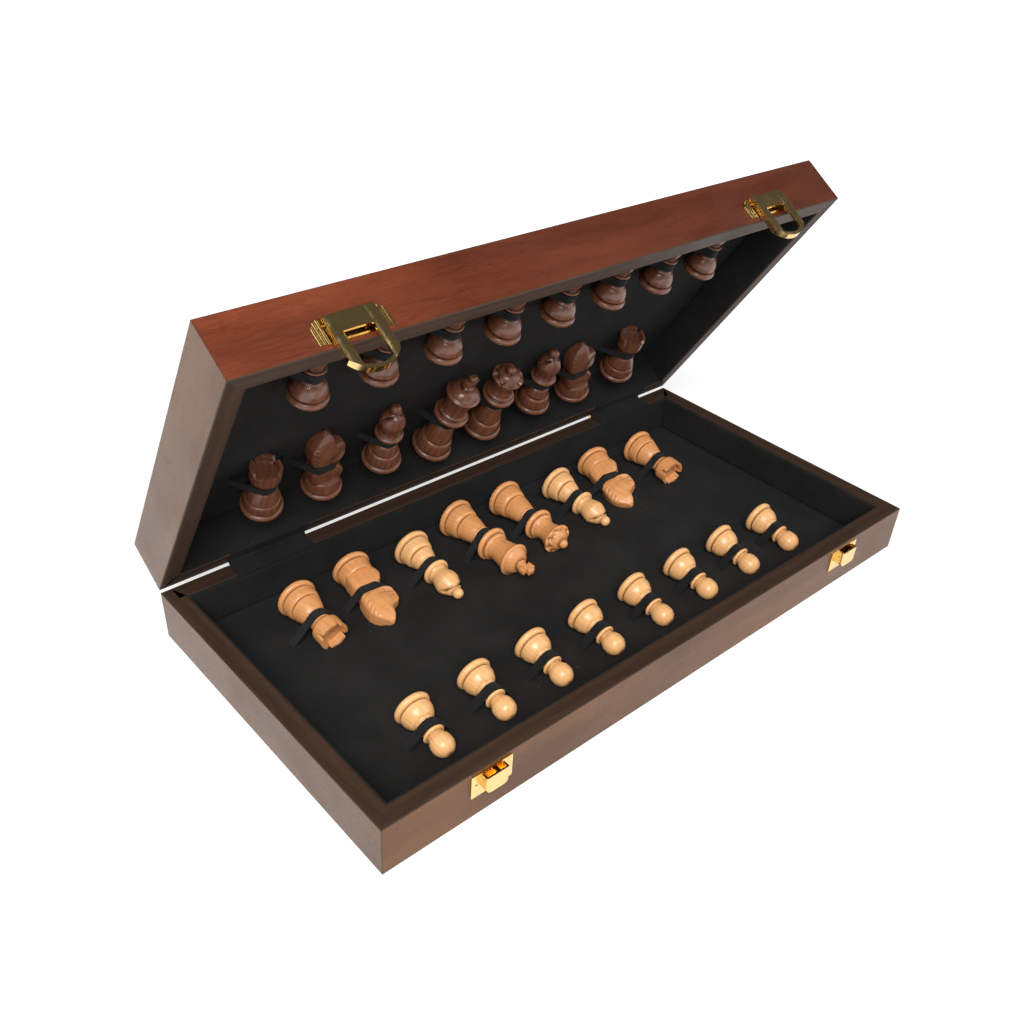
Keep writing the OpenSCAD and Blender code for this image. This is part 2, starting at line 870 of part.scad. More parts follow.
module knight() {
    r = officer_foot_r;
    k = knight_h / knight_drawn[0];
    q = r / knight_drawn[1];
    body_w = 2 * knight_half_t * q;
    nose_w = 7.2 * q;
    color(tint_of_set())
        difference() {
            union() {
                turned(knight_h, r, knight_drawn[0], knight_drawn[1]) {
                    foot(knight_drawn[1]);
                    stem(9.4, 8.6, 6, 9, 1.6);
                    bead(9.9, 9.4, 1.8);
                    band(8.6, 9, 11);
                }
                intersection() {
                    rotate([90, 0, 0])
                        linear_extrude(2 * r, center = true)
                            knight_outline(r, knight_h);
                    rotate([90, 0, 90])
                        linear_extrude(4 * r, center = true)
                            knight_front(body_w / 2, knight_h);
                    linear_extrude(knight_h)
                        knight_plan(body_w, nose_w, r);
                }
            }
            translate([12.4 * q, 0, 28.4 * k])
                rotate([0, -30, 0])
                    cube([6 * q, 2 * r, 0.8], center = true);
            for (s = [-1, 1]) {
                translate([4.4 * q, s * 0.42 * body_w, 38.4 * k])
                    rotate([90, 0, 0])
                        cylinder(h = 2, r = 0.9 * q, center = true);
                for (i = [0 : 3])
                    translate([-10.8 * q, s * body_w / 2, (43 - 5 * i) * k])
                        rotate([0, -30, 0])
                            cube([7 * q, 1.4, 1], center = true);
            }
        }
}

// Front view of the knight: it narrows from the chest to the ears
module knight_front(half, h) {
    polygon([[-half, 0], [half, 0], [half, 0.5 * h], [0.8 * half, 0.8 * h], [0.45 * half, h],
        [-0.45 * half, h], [-0.8 * half, 0.8 * h], [-half, 0.5 * h]]);
}

// Plan of the knight: a thick neck that narrows to the nose
module knight_plan(body_w, nose_w, r) {
    polygon([[-1.14 * r, -0.3 * body_w], [-0.9 * r, -body_w / 2], [0.25 * r, -body_w / 2],
        [1.14 * r, -nose_w / 2], [1.14 * r, nose_w / 2], [0.25 * r, body_w / 2],
        [-0.9 * r, body_w / 2], [-1.14 * r, 0.3 * body_w]]);
}

// Stations of the two places where a man rests on the felt, as [radius, station]
foot_rest_z = 3;
function foot_rest(kind) =
    kind == "king" ? [king_foot_r, foot_rest_z] :
    kind == "queen" ? [queen_foot_r, foot_rest_z] :
    kind == "pawn" ? [pawn_foot_r, foot_rest_z] :
    [officer_foot_r, foot_rest_z];
function head_rest(kind) =
    kind == "king" ? [9.1 * king_foot_r / king_drawn[1], 49.6 * king_h / king_drawn[0]] :
    kind == "queen" ? [9 * queen_foot_r / queen_drawn[1], 49.5 * queen_h / queen_drawn[0]] :
    kind == "bishop" ? [7.7 * officer_foot_r / bishop_drawn[1], 30 * bishop_h / bishop_drawn[0]] :
    kind == "knight" ? [5 * officer_foot_r / knight_drawn[1], 40 * knight_h / knight_drawn[0]] :
    kind == "rook" ? [8.75 * officer_foot_r / rook_drawn[1], 40 * rook_h / rook_drawn[0]] :
    [7.1 * pawn_foot_r / pawn_drawn[1], 24.4 * pawn_h / pawn_drawn[0]];

// Slope of a lying man, and the height of the middle of its foot above the felt
function lean(kind) =
    let (a = foot_rest(kind), b = head_rest(kind))
    atan((a[0] - b[0]) / (b[1] - a[1]));
function foot_up(kind) =
    lie_gap + foot_rest(kind)[0] * cos(lean(kind)) + foot_rest(kind)[1] * sin(lean(kind));

// Station of a man's elastic along its axis
function strap_z(kind) =
    kind == "king" ? 21.6 * king_h / king_drawn[0] :
    kind == "queen" ? 20.8 * queen_h / queen_drawn[0] :
    kind == "bishop" ? 19.6 * bishop_h / bishop_drawn[0] :
    kind == "knight" ? 23.1 * knight_h / knight_drawn[0] :
    kind == "rook" ? 19.6 * rook_h / rook_drawn[0] :
    16.4 * pawn_h / pawn_drawn[0];

// Radius of a stem at the end of the elastic that lies nearer the foot
function held_r(stem, drawn, h, foot_r, z) =
    let (t = ((z - elastic_w / 2) * drawn[0] / h - stem[2]) / (stem[3] - stem[2]))
    foot_r / drawn[1] * waist(stem[0], stem[1], stem[4], t);

// What the elastic lies over, as [middle, half width, half thickness, corner radius]
function held(kind) =
    kind == "knight" ? knight_held() :
    let (
        z = strap_z(kind),
        r = elastic_clear + (
            kind == "king" ? held_r(king_stem, king_drawn, king_h, king_foot_r, z) :
            kind == "queen" ? held_r(queen_stem, queen_drawn, queen_h, queen_foot_r, z) :
            kind == "bishop" ? held_r(bishop_stem, bishop_drawn, bishop_h, officer_foot_r, z) :
            kind == "rook" ? held_r(rook_stem, rook_drawn, rook_h, officer_foot_r, z) :
            held_r(pawn_neck, pawn_drawn, pawn_h, pawn_foot_r, z))
    ) [0, r, r, r];
function knight_held() =
    let (q = officer_foot_r / knight_drawn[1])
    [(throat_x + nape_x) / 2 * q, (throat_x - nape_x) / 2 * q + elastic_clear,
        knight_half_t * q + elastic_clear, 2 * q];

// Reach of each leg from the man's axis, as a share of the distance between columns
function reach_share(kind) =
    kind == "rook" ? 0.45 :
    kind == "knight" ? 0.43 :
    kind == "bishop" ? 0.4 :
    kind == "pawn" ? 0.345 :
    0.37;

// Lays a man on the felt with its head towards the catches
module laid(kind, x, y, turn) {
    translate([x, y, floor_z + foot_up(kind)])
        rotate([0, 0, turn])
            rotate([90 + lean(kind), 0, 0])
                children();
}

// Angle round a corner of the held shape at which a leg leaves it, on side s
function leave_angle(held, reach, drop, s) =
    let (
        x = reach - s * held[0] - held[1] + held[3],
        y = drop + held[2] - held[3]
    ) acos((held[3] + elastic_t / 2) / norm([x, y])) - atan2(y, x);

// Line of an elastic at a bend of radius r on side s, from below the felt up the leg
// and round the corner of the held shape to its top
function side_line(held, reach, drop, r, s) =
    let (
        a = leave_angle(held, reach, drop, s),
        across = held[1] - held[3],
        up = held[2] - held[3],
        corner = [for (k = [0 : bend_steps])
            let (t = a + (90 - a) * k / bend_steps) [across + r * cos(t), up + r * sin(t)]],
        end = corner[0] + 2 * (reach + drop) * [sin(a), -cos(a)]
    ) [for (p = concat([end], corner)) [s * p[0], p[1]]];
function backwards(line, last) = [for (k = [last : -1 : 0]) line[k]];

// The same line all the way over, from the right leg to the left one
function over_line(held, reach, drop, r) =
    let (flat_top = held[1] > held[3])
    concat(
        side_line(held, reach, drop, r, 1),
        backwards(side_line(held, reach, drop, r, -1), bend_steps + (flat_top ? 1 : 0))
    );

// Section of an elastic: over the man, round its corners and down to the felt
module loop_section(held, reach, drop) {
    outside = over_line(held, reach, drop, held[3] + elastic_t);
    inside = over_line(held, reach, drop, held[3]);
    translate([held[0], 0])
        polygon(concat(outside, backwards(inside, len(inside) - 1)));
}

// One elastic over a laid man, cut off at the felt
module loop_over(kind, x, y, turn) {
    z = strap_z(kind);
    drop = (foot_up(kind) - z * sin(lean(kind))) / cos(lean(kind));
    intersection() {
        laid(kind, x, y, turn)
            translate([0, 0, z - elastic_w / 2])
                linear_extrude(elastic_w)
                    loop_section(held(kind), column_pitch * reach_share(kind), drop);
        translate([-inner_l / 2, -inner_w / 2, floor_z])
            cube([inner_l, inner_w, half_h]);
    }
}

// The back row from left to right, how far each foot stands in front of the king's
// foot, and the small turns of the men as they lie in the base and in the lid
row = ["rook", "knight", "bishop", "king", "queen", "bishop", "knight", "rook"];
row_back = [6.5, 2, 7, 0, 1, 7, 2, 6.5];
base_turns = [3, -4, -1, 4, 0, 1, -9, -4];
lid_turns = [-6, -6.5, -4, 2.5, -2.5, -3.5, -14, -9];
function column_x(i) = -inner_l / 2 + column_in + i * column_pitch;
function tint_of_set() = $dark ? rosewood : boxwood;

module man(kind) {
    if (kind == "king") king();
    if (kind == "queen") queen();
    if (kind == "bishop") bishop();
    if (kind == "knight") knight();
    if (kind == "rook") rook();
}

module light_man(i) {
    $dark = false;
    laid(row[i], column_x(i), back_y - row_back[i], base_turns[i])
        man(row[i]);
}

module dark_man(i) {
    $dark = true;
    in_lid()
        laid(row[i], column_x(i), back_y - row_back[i], lid_turns[i])
            man(row[i]);
}

module pawns() {
    for (i = [0 : 7])
        laid("pawn", column_x(i), pawn_y, 0)
            pawn();
}

module piece_loops(turns) {
    color(elastic_black)
        for (i = [0 : 7])
            loop_over(row[i], column_x(i), back_y - row_back[i], turns[i]);
}

module pawn_loops() {
    color(elastic_black)
        for (i = [0 : 7])
            loop_over("pawn", column_x(i), pawn_y, 0);
}

module light_pawns() {
    $dark = false;
    pawns();
}

module dark_pawns() {
    $dark = true;
    in_lid()
        pawns();
}

front_rail(strike_nail_x, strike_nail_y);  // base_front_rail
back_rail();  // base_back_rail
side_rail(-90);  // base_left_rail
side_rail(90);  // base_right_rail
board();  // base_board
squares(0, maple);  // base_light_squares
squares(1, mahogany);  // base_dark_squares
lining();  // base_lining
in_lid() front_rail(catch_nail_x, catch_nail_y);  // lid_front_rail
in_lid() back_rail();  // lid_back_rail
in_lid() side_rail(-90);  // lid_left_rail
in_lid() side_rail(90);  // lid_right_rail
in_lid() board();  // lid_board
in_lid() squares(1, maple);  // lid_light_squares
in_lid() squares(0, mahogany);  // lid_dark_squares
in_lid() lining();  // lid_lining
hinge_leaf(hinge_xs[0], 0);  // left_hinge_base_leaf
in_lid() hinge_leaf(hinge_xs[0], 1);  // left_hinge_lid_leaf
hinge_pin(hinge_xs[0]);  // left_hinge_pin
hinge_leaf(hinge_xs[1], 0);  // right_hinge_base_leaf
in_lid() hinge_leaf(hinge_xs[1], 1);  // right_hinge_lid_leaf
hinge_pin(hinge_xs[1]);  // right_hinge_pin
hinge_screws();  // base_hinge_screws
in_lid() hinge_screws();  // lid_hinge_screws
hinge_flaps();  // base_hinge_flaps
in_lid() hinge_flaps();  // lid_hinge_flaps
strike(catch_xs[0]);  // left_strike
strike(catch_xs[1]);  // right_strike
nails(strike_nail_x, strike_nail_y);  // strike_nails
in_lid() catch_plate(catch_xs[0]);  // left_catch_plate
in_lid() catch_plate(catch_xs[1]);  // right_catch_plate
in_lid() nails(catch_nail_x, catch_nail_y);  // catch_nails
in_lid() hasp(catch_xs[0]);  // left_hasp
in_lid() hasp(catch_xs[1]);  // right_hasp
in_lid() hasp_pin(catch_xs[0]);  // left_hasp_pin
in_lid() hasp_pin(catch_xs[1]);  // right_hasp_pin
light_man(0);  // light_kings_rook
light_man(1);  // light_kings_knight
light_man(2);  // light_kings_bishop
light_man(3);  // light_king
light_man(4);  // light_queen
light_man(5);  // light_queens_bishop
light_man(6);  // light_queens_knight
light_man(7);  // light_queens_rook
light_pawns();
piece_loops(base_turns);  // light_piece_loops
pawn_loops();  // light_pawn_loops
dark_man(0);  // dark_kings_rook
dark_man(1);  // dark_kings_knight
dark_man(2);  // dark_kings_bishop
dark_man(3);  // dark_king
dark_man(4);  // dark_queen
dark_man(5);  // dark_queens_bishop
dark_man(6);  // dark_queens_knight
dark_man(7);  // dark_queens_rook
dark_pawns();
in_lid() piece_loops(lid_turns);  // dark_piece_loops
in_lid() pawn_loops();  // dark_pawn_loops
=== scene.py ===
"""Finishes a folding chess case: wood, felt, elastics, turned men and brass, in the frame of its solids."""

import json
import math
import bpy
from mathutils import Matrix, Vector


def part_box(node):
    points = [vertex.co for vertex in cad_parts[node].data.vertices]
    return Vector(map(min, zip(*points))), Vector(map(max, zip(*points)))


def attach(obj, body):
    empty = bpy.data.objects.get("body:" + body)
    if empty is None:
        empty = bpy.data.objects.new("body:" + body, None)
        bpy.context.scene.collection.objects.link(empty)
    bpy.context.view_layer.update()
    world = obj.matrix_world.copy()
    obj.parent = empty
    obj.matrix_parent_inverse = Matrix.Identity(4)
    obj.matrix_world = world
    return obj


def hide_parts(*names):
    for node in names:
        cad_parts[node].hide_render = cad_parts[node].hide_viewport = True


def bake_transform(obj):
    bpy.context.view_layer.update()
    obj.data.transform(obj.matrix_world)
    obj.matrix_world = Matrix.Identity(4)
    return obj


bl_info = {
    "name": "Folding Chess Case",
    "version": (1, 0, 0),
    "blender": (4, 5, 0),
    "location": "3D View > Sidebar > Chess Case",
    "description": "Finishes the wood, felt, elastics, men and brass of a folding chess case",
    "category": "Object",
}

import bpy
import numpy as np
from bpy.props import FloatProperty, FloatVectorProperty, PointerProperty
from mathutils import Matrix, Vector

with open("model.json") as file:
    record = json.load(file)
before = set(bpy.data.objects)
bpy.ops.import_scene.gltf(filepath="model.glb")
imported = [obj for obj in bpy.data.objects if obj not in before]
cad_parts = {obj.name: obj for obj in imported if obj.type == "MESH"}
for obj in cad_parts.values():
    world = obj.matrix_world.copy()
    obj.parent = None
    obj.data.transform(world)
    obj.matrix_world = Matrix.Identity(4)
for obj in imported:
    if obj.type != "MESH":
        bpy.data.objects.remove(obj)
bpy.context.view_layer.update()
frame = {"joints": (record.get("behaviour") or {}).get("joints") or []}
MM = 0.001
IMAGE_SIDE = 1024
FOCAL_PIXELS = 1045.32  # focal length, and where the lens's middle falls, in pixels of the photo
MIDDLE_PIXEL = (504.86, 536.89)
TARGET = (0.00834, 0.05554, 0.0)  # what the camera looks at, on the floor under the hinges' side


def corners(node):
    """Lowest and highest corner of a solid in millimetres."""
    lo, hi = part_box(node)
    return np.array(lo) / MM, np.array(hi) / MM


RAIL_LO, RAIL_HI = corners("base_front_rail")
BACK_HI = corners("base_back_rail")[1]
FELT_LO, FELT_HI = corners("base_lining")
CASE = np.array([-2 * corners("base_left_rail")[0][0], BACK_HI[1] - RAIL_LO[1], RAIL_HI[2]])
PIVOT = np.array(frame["joints"][0]["pos_m"]) / MM
OPEN = math.radians(-frame["joints"][0]["range_deg"][0])
FELT_T = 0.8
FLOOR_Z = FELT_LO[2] + FELT_T
SQUARE = 46.0
LEAF_DEPTH = 2.0  # how far the back rails are cut down for the hinges
PANEL_TOP = 3.22  # the board panel sits below this in a rebate of the rails
PANEL_IN = 6.02  # and starts this far in from the outer faces


def as_drawn(points):
    """Leaves points of the base where they are."""
    return points


def to_lid(points):
    """A point drawn in the base, mirrored in the seam and turned about the hinge line by the opening angle."""
    p = np.asarray(points, float)
    y = p[..., 1] - PIVOT[1]
    z = PIVOT[2] - p[..., 2]
    c, s = math.cos(OPEN), math.sin(OPEN)
    return np.stack([p[..., 0], PIVOT[1] + c * y + s * z, PIVOT[2] - s * y + c * z], -1)


class Shell:
    """Grids of points in millimetres, joined into the faces of one mesh."""

    def __init__(self):
        self.points, self.quads, self.tris, self.values = [], [], [], {}
        self.count = 0

    def add(self, points, **values):
        """Takes points of any grid shape and returns the number of the first one."""
        flat = np.asarray(points, float).reshape(-1, 3)
        first = self.count
        self.points.append(flat)
        self.count += len(flat)
        for name, value in values.items():
            value = np.asarray(value, float)
            width = 3 if value.shape[-1:] == (3,) and value.ndim > 1 else 1
            whole = np.broadcast_to(value, (len(flat), 3) if width == 3 and value.ndim == 2 else value.shape)
            self.values.setdefault(name, []).append(whole.reshape(len(flat), width))
        return first

    def grid(self, points, wrap=False, start=None, end=None, flip=False, **values):
        """A grid of rows by columns.

        wrap joins the last column to the first; start and end are points that close the first and last row.
        """
        rows, cols = points.shape[:2]
        first = self.add(points, **values)
        n = np.arange(rows * cols).reshape(rows, cols) + first
        right = np.roll(n, -1, 1) if wrap else n[:, 1:]
        left = n if wrap else n[:, :-1]
        quads = np.stack([left[:-1], right[:-1], right[1:], left[1:]], -1).reshape(-1, 4)
        self.quads.append(quads[:, ::-1] if flip else quads)
        for point, row, turn in ((start, 0, True), (end, -1, False)):
            if point is None:
                continue
            ends = {k: np.asarray(v).reshape(rows, cols, -1)[row].mean(0, keepdims=True) for k, v in values.items()}
            pole = self.add(np.reshape(point, (1, 3)), **{k: v if v.shape[1] == 3 else v[0] for k, v in ends.items()})
            tris = np.stack([left[row], right[row], np.full(len(left[row]), pole)], -1)
            self.tris.append(tris[:, ::-1] if turn != flip else tris)


def make_piece(name, shell, material, body, nodes=(), closed=True):
    """Puts a shell's arrays into a mesh in metres, at the origin, and lets it ride on its body."""
    mesh = bpy.data.meshes.new(name)
    points = np.concatenate(shell.points) * MM
    quads = np.concatenate(shell.quads or [np.zeros((0, 4), int)])
    tris = np.concatenate(shell.tris or [np.zeros((0, 3), int)])
    fans = np.concatenate([quads[:, [0, 1, 2]], quads[:, [0, 2, 3]], tris])
    a, b, c = (points[fans[:, k]] for k in range(3))
    if closed and np.einsum("ij,ij->", a, np.cross(b, c)) < 0:
        quads, tris = quads[:, ::-1], tris[:, ::-1]
    mesh.vertices.add(len(points))
    mesh.vertices.foreach_set("co", points.astype(np.float32).ravel())
    mesh.loops.add(quads.size + tris.size)
    mesh.loops.foreach_set("vertex_index", np.concatenate([quads.ravel(), tris.ravel()]).astype(np.int32))
    starts = np.concatenate([np.arange(len(quads)) * 4, quads.size + np.arange(len(tris)) * 3])
    mesh.polygons.add(len(quads) + len(tris))
    mesh.polygons.foreach_set("loop_start", starts.astype(np.int32))
    mesh.update(calc_edges=True)
    mesh.validate()
    for key, parts in shell.values.items():
        value = np.concatenate(parts).astype(np.float32)
        kind = "FLOAT_VECTOR" if value.shape[1] == 3 else "FLOAT"
        attribute = mesh.attributes.new(key, kind, "POINT")
        attribute.data.foreach_set("vector" if value.shape[1] == 3 else "value", value.ravel())
    mesh.polygons.foreach_set("use_smooth", np.ones(len(mesh.polygons), bool))
    mesh.materials.append(material)
    obj = bpy.data.objects.new(name, mesh)
    bpy.context.scene.collection.objects.link(obj)
    if body:
        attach(obj, body)
    if nodes:
        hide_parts(*nodes)
    return obj


def put(tree, kind, sockets=(), **settings):
    """Adds a node. sockets maps an input's name or number to a value, or to the output that feeds it."""
    node = tree.nodes.new(kind)
    for key, value in settings.items():
        setattr(node, key, value)
    for key, value in dict(sockets).items():
        if isinstance(value, bpy.types.NodeSocket):
            tree.links.new(value, node.inputs[key])
        else:
            node.inputs[key].default_value = value
    return node


def sums(tree, operation, *values, clamp=False):
    """One Math node on numbers and outputs."""
    return put(tree, "ShaderNodeMath", dict(enumerate(values)), operation=operation, use_clamp=clamp).outputs[0]


def vectors(tree, operation, *values):
    """One Vector Math node; a bare number goes to Scale."""
    sockets = {("Scale" if isinstance(v, (int, float)) else i): v for i, v in enumerate(values)}
    node = put(tree, "ShaderNodeVectorMath", sockets, operation=operation)
    return node.outputs["Value" if operation in ("LENGTH", "DOT_PRODUCT", "DISTANCE") else "Vector"]


def blur(tree, place, scale, detail=2.0, roughness=0.5):
    """Noise from 0 to 1 on a place in millimetres; scale is a number or one for each axis, per millimetre."""
    scale = (scale,) * 3 if isinstance(scale, (int, float)) else scale
    at = vectors(tree, "MULTIPLY", place, scale)
    sockets = {"Vector": at, "Scale": 1.0, "Detail": detail, "Roughness": roughness}
    return put(tree, "ShaderNodeTexNoise", sockets)


def span(tree, value, low, high, to_low=0.0, to_high=1.0):
    """Carries a value from one range to another with soft ends."""
    sockets = {"Value": value, "From Min": low, "From Max": high, "To Min": to_low, "To Max": to_high}
    return put(tree, "ShaderNodeMapRange", sockets, interpolation_type="SMOOTHSTEP").outputs[0]


def mix(tree, share, a, b, blend="MIX"):
    """Mixes two colours."""
    node = put(tree, "ShaderNodeMix", {0: share, 6: a, 7: b}, data_type="RGBA", blend_type=blend)
    return node.outputs[2]


def group(name, inputs, outputs, build):
    """A shader node group with named inputs (name, default) and outputs (name, kind), built once."""
    tree = bpy.data.node_groups.get(name)
    if tree is None:
        tree = bpy.data.node_groups.new(name, "ShaderNodeTree")
        for label, default in inputs:
            vector = isinstance(default, tuple)
            kind = "NodeSocketVector" if vector else "NodeSocketFloat"
            tree.interface.new_socket(label, in_out="INPUT", socket_type=kind).default_value = default
        for label, kind in outputs:
            tree.interface.new_socket(label, in_out="OUTPUT", socket_type="NodeSocket" + kind)
        start = put(tree, "NodeGroupInput")
        end = put(tree, "NodeGroupOutput")
        for label, value in build(tree, start.outputs).items():
            tree.links.new(value, end.inputs[label])
    return tree


def use(tree, made, **sockets):
    """Places a node group; an input named in two words is given with an underscore."""
    node = put(tree, "ShaderNodeGroup", node_tree=made)
    for key, value in sockets.items():
        socket = node.inputs[key.replace("_", " ")]
        if isinstance(value, bpy.types.NodeSocket):
            tree.links.new(value, socket)
        else:
            socket.default_value = value
    return node.outputs


def wood_grain():
    """Growth rings about the pith, fine fibres and short pores, on a place in mm with its grain along x."""

    def build(tree, given):
        place = given["Place"]
        bend = blur(tree, place, (0.007, 0.045, 0.045), 3.0)
        bend = vectors(tree, "SUBTRACT", bend.outputs["Color"], (0.5, 0.5, 0.5))
        bend = put(tree, "ShaderNodeVectorMath", {0: bend, "Scale": given["Wander"]}, operation="SCALE").outputs[0]
        bent = vectors(tree, "ADD", place, bend)
        ring = vectors(tree, "LENGTH", vectors(tree, "MULTIPLY", bent, (0.03, 1.0, 1.0)))
        turns = sums(tree, "MULTIPLY", ring, given["Growth"])
        wave = sums(tree, "MULTIPLY_ADD", sums(tree, "SINE", sums(tree, "MULTIPLY", turns, 2 * math.pi)), 0.5, 0.5)
        figure = sums(tree, "POWER", wave, 1.7)
        fibres = blur(tree, bent, (0.05, 2.4, 2.4), 3.0, 0.6).outputs[0]
        fibres = span(tree, fibres, 0.3, 0.7)
        pores = blur(tree, bent, (0.22, 4.2, 4.2), 1.0).outputs[0]
        pores = span(tree, pores, 0.6, 0.74)
        height = sums(tree, "SUBTRACT", sums(tree, "MULTIPLY", fibres, 0.35), pores)
        return {"Figure": figure, "Fibres": fibres, "Pores": pores, "Height": height}

    inputs = [("Place", (0.0, 0.0, 0.0)), ("Growth", 0.3), ("Wander", 8.0)]
    outputs = [("Figure", "Float"), ("Fibres", "Float"), ("Pores", "Float"), ("Height", "Float")]
    return group("Wood Grain", inputs, outputs, build)


def edge_wear_and_shade():
    """How near a place is to an edge of a box: there the second largest of its three distances outside is near 0. Rub
    is wear along the edges; the other output is a painted shade line just inside them.
    """

    def build(tree, given):
        off = vectors(tree, "SUBTRACT", vectors(tree, "ABSOLUTE", given["Place"]), given["Half Size"])
        axes = put(tree, "ShaderNodeSeparateXYZ", {0: off}).outputs
        high = sums(tree, "MAXIMUM", axes[0], axes[1])
        low = sums(tree, "MINIMUM", axes[0], axes[1])
        second = sums(tree, "MAXIMUM", low, sums(tree, "MINIMUM", high, axes[2]))
        rough = blur(tree, given["Place"], 0.11, 3.0).outputs[0]
        reach = sums(tree, "MULTIPLY_ADD", rough, given["Width"], second)
        low_end = sums(tree, "MULTIPLY", given["Width"], -0.6)
        node = {"Value": reach, "From Min": low_end, "From Max": given["Width"], "To Min": 0.0, "To Max": 1.0}
        mask = put(tree, "ShaderNodeMapRange", node, interpolation_type="SMOOTHSTEP").outputs[0]
        # painted shade: a thin darker line along the eased edges
        line = span(tree, second, -1.1, -0.2)
        return {"Rub": mask, "Line": line}

    inputs = [("Place", (0.0, 0.0, 0.0)), ("Half Size", (190.0, 95.0, 14.25)), ("Width", 1.6)]
    return group("Edge Wear And Shade", inputs, [("Rub", "Float"), ("Line", "Float")], build)


def case_place(tree, body, turn=0.0, shift=(0.0, 0.0, 0.0)):
    """A solid's own coordinates in mm from the middle of its half, turned so that the grain runs along x."""
    lean, pivot, middle = Matrix.Identity(3), Vector((0.0, 0.0, 0.0)), Vector((0.0, 0.0, -CASE[2] / 2))
    if body == "lid":
        lean = Matrix.Rotation(OPEN, 3, "X")
        pivot = Vector((0.0, PIVOT[1], PIVOT[2]))
        middle = Vector((0.0, PIVOT[1], CASE[2] / 2 - PIVOT[2]))
    spin = Matrix.Rotation(math.radians(turn), 3, "Z")
    move = spin @ (middle - lean @ pivot) + Vector(shift)
    at = put(tree, "ShaderNodeTexCoord").outputs["Object"]
    moved = {"Vector": vectors(tree, "SCALE", at, 1 / MM), "Location": move, "Rotation": (spin @ lean).to_euler()}
    return put(tree, "ShaderNodeMapping", moved, vector_type="POINT").outputs[0]


def object_place(tree):
    """Object coordinates in mm."""
    return vectors(tree, "SCALE", put(tree, "ShaderNodeTexCoord").outputs["Object"], 1 / MM)


def grey(tree, value):
    """A grey from one number."""
    return put(tree, "ShaderNodeCombineColor", {0: value, 1: value, 2: value}).outputs[0]


def surface(name, **sockets):
    """A new material with one Principled shader, whose plain numbers are set on its own sockets."""
    material = bpy.data.materials.new(name)
    material.use_nodes = True
    tree = material.node_tree
    tree.nodes.clear()
    shader = put(tree, "ShaderNodeBsdfPrincipled", sockets)
    put(tree, "ShaderNodeOutputMaterial", {0: shader.outputs[0]})
    return material, tree, shader


def feed(tree, shader, **values):
    """Links outputs to the shader's sockets."""
    for key, value in values.items():
        tree.links.new(value, shader.inputs[key.replace("_", " ")])


def bump(tree, height, depth, strength=1.0):
    """A normal from a height, with its depth in metres."""
    return put(tree, "ShaderNodeBump", {"Height": height, "Distance": depth, "Strength": strength}).outputs[0]


def rgb(colour, share=1.0):
    """A colour with its alpha, scaled in brightness."""
    return tuple(c * share for c in colour[:3]) + (1.0,)


def stained_wood(name, body, turn, shift, colours, tint=(1.0, 1.0, 1.0), painted_light_falloff=(1.0, 1.0), shine=0.25):
    """Case wood under satin lacquer: rings, fibres and pores, a little paler where hands wear the edges, with a
    painted shade line along the edges, and rims darker from stain and painted shade.

    tint shifts the stain's colour; the gradient argument paints light and shade along the case, its brightness at the
    left and at the right.
    """
    material, tree, shader = surface(name, **{"Coat Weight": 0.0, "Specular IOR Level": shine})
    place = case_place(tree, body, turn, shift)
    grain = use(tree, wood_grain(), Place=place, Growth=0.16, Wander=15.0)
    wear_and_shade = use(tree, edge_wear_and_shade(), Place=case_place(tree, body), Half_Size=tuple(CASE / 2), Width=1.5)
    cloud = blur(tree, place, (0.012, 0.05, 0.05), 3.0).outputs[0]
    tone = sums(tree, "MULTIPLY_ADD", grain["Fibres"], 0.55, sums(tree, "MULTIPLY", grain["Figure"], 0.45))
    colour = mix(tree, tone, rgb(colours.stain_dark), rgb(colours.stain))
    colour = mix(tree, span(tree, cloud, 0.35, 0.7, 0.0, 0.5), colour, rgb(colours.stain, 1.25))
    colour = mix(tree, sums(tree, "MULTIPLY", grain["Pores"], 0.5), colour, rgb(colours.stain_dark, 0.45))
    # painted shade: a thin darker line along the eased edges
    colour = mix(tree, sums(tree, "MULTIPLY", wear_and_shade["Line"], 0.45), colour, rgb(colours.stain_dark, 0.5))
    colour = mix(tree, sums(tree, "MULTIPLY", wear_and_shade["Rub"], 0.1), colour, rgb(colours.stain, 1.9))
    own = put(tree, "ShaderNodeSeparateXYZ", {0: case_place(tree, body)}).outputs
    # painted light: brighter at the left end, darker towards the right, as the light falls across the case
    along = span(tree, own[0], -170.0, 0.0, *painted_light_falloff)
    colour = mix(tree, 1.0, colour, rgb(tint), "MULTIPLY")
    colour = mix(tree, 1.0, colour, grey(tree, along), "MULTIPLY")
    height = sums(tree, "MULTIPLY", own[2], -1.0 if body == "lid" else 1.0)
    # the rims: a browner stain, partly painted shade where the rims get less light
    rim = span(tree, height, CASE[2] / 2 - 1.1, CASE[2] / 2 - 0.25)
    shade = mix(tree, tone, rgb(colours.rim, 0.7), rgb(colours.rim, 1.25))
    colour = mix(tree, rim, colour, shade)
    smear = blur(tree, place, 0.03, 4.0).outputs[0]
    rough = span(tree, smear, 0.3, 0.75, 0.24, 0.36)
    rough = sums(tree, "MULTIPLY_ADD", rim, 0.3, rough)
    feed(tree, shader, Base_Color=colour, Roughness=rough, Normal=bump(tree, grain["Fibres"], 0.000008))
    return material


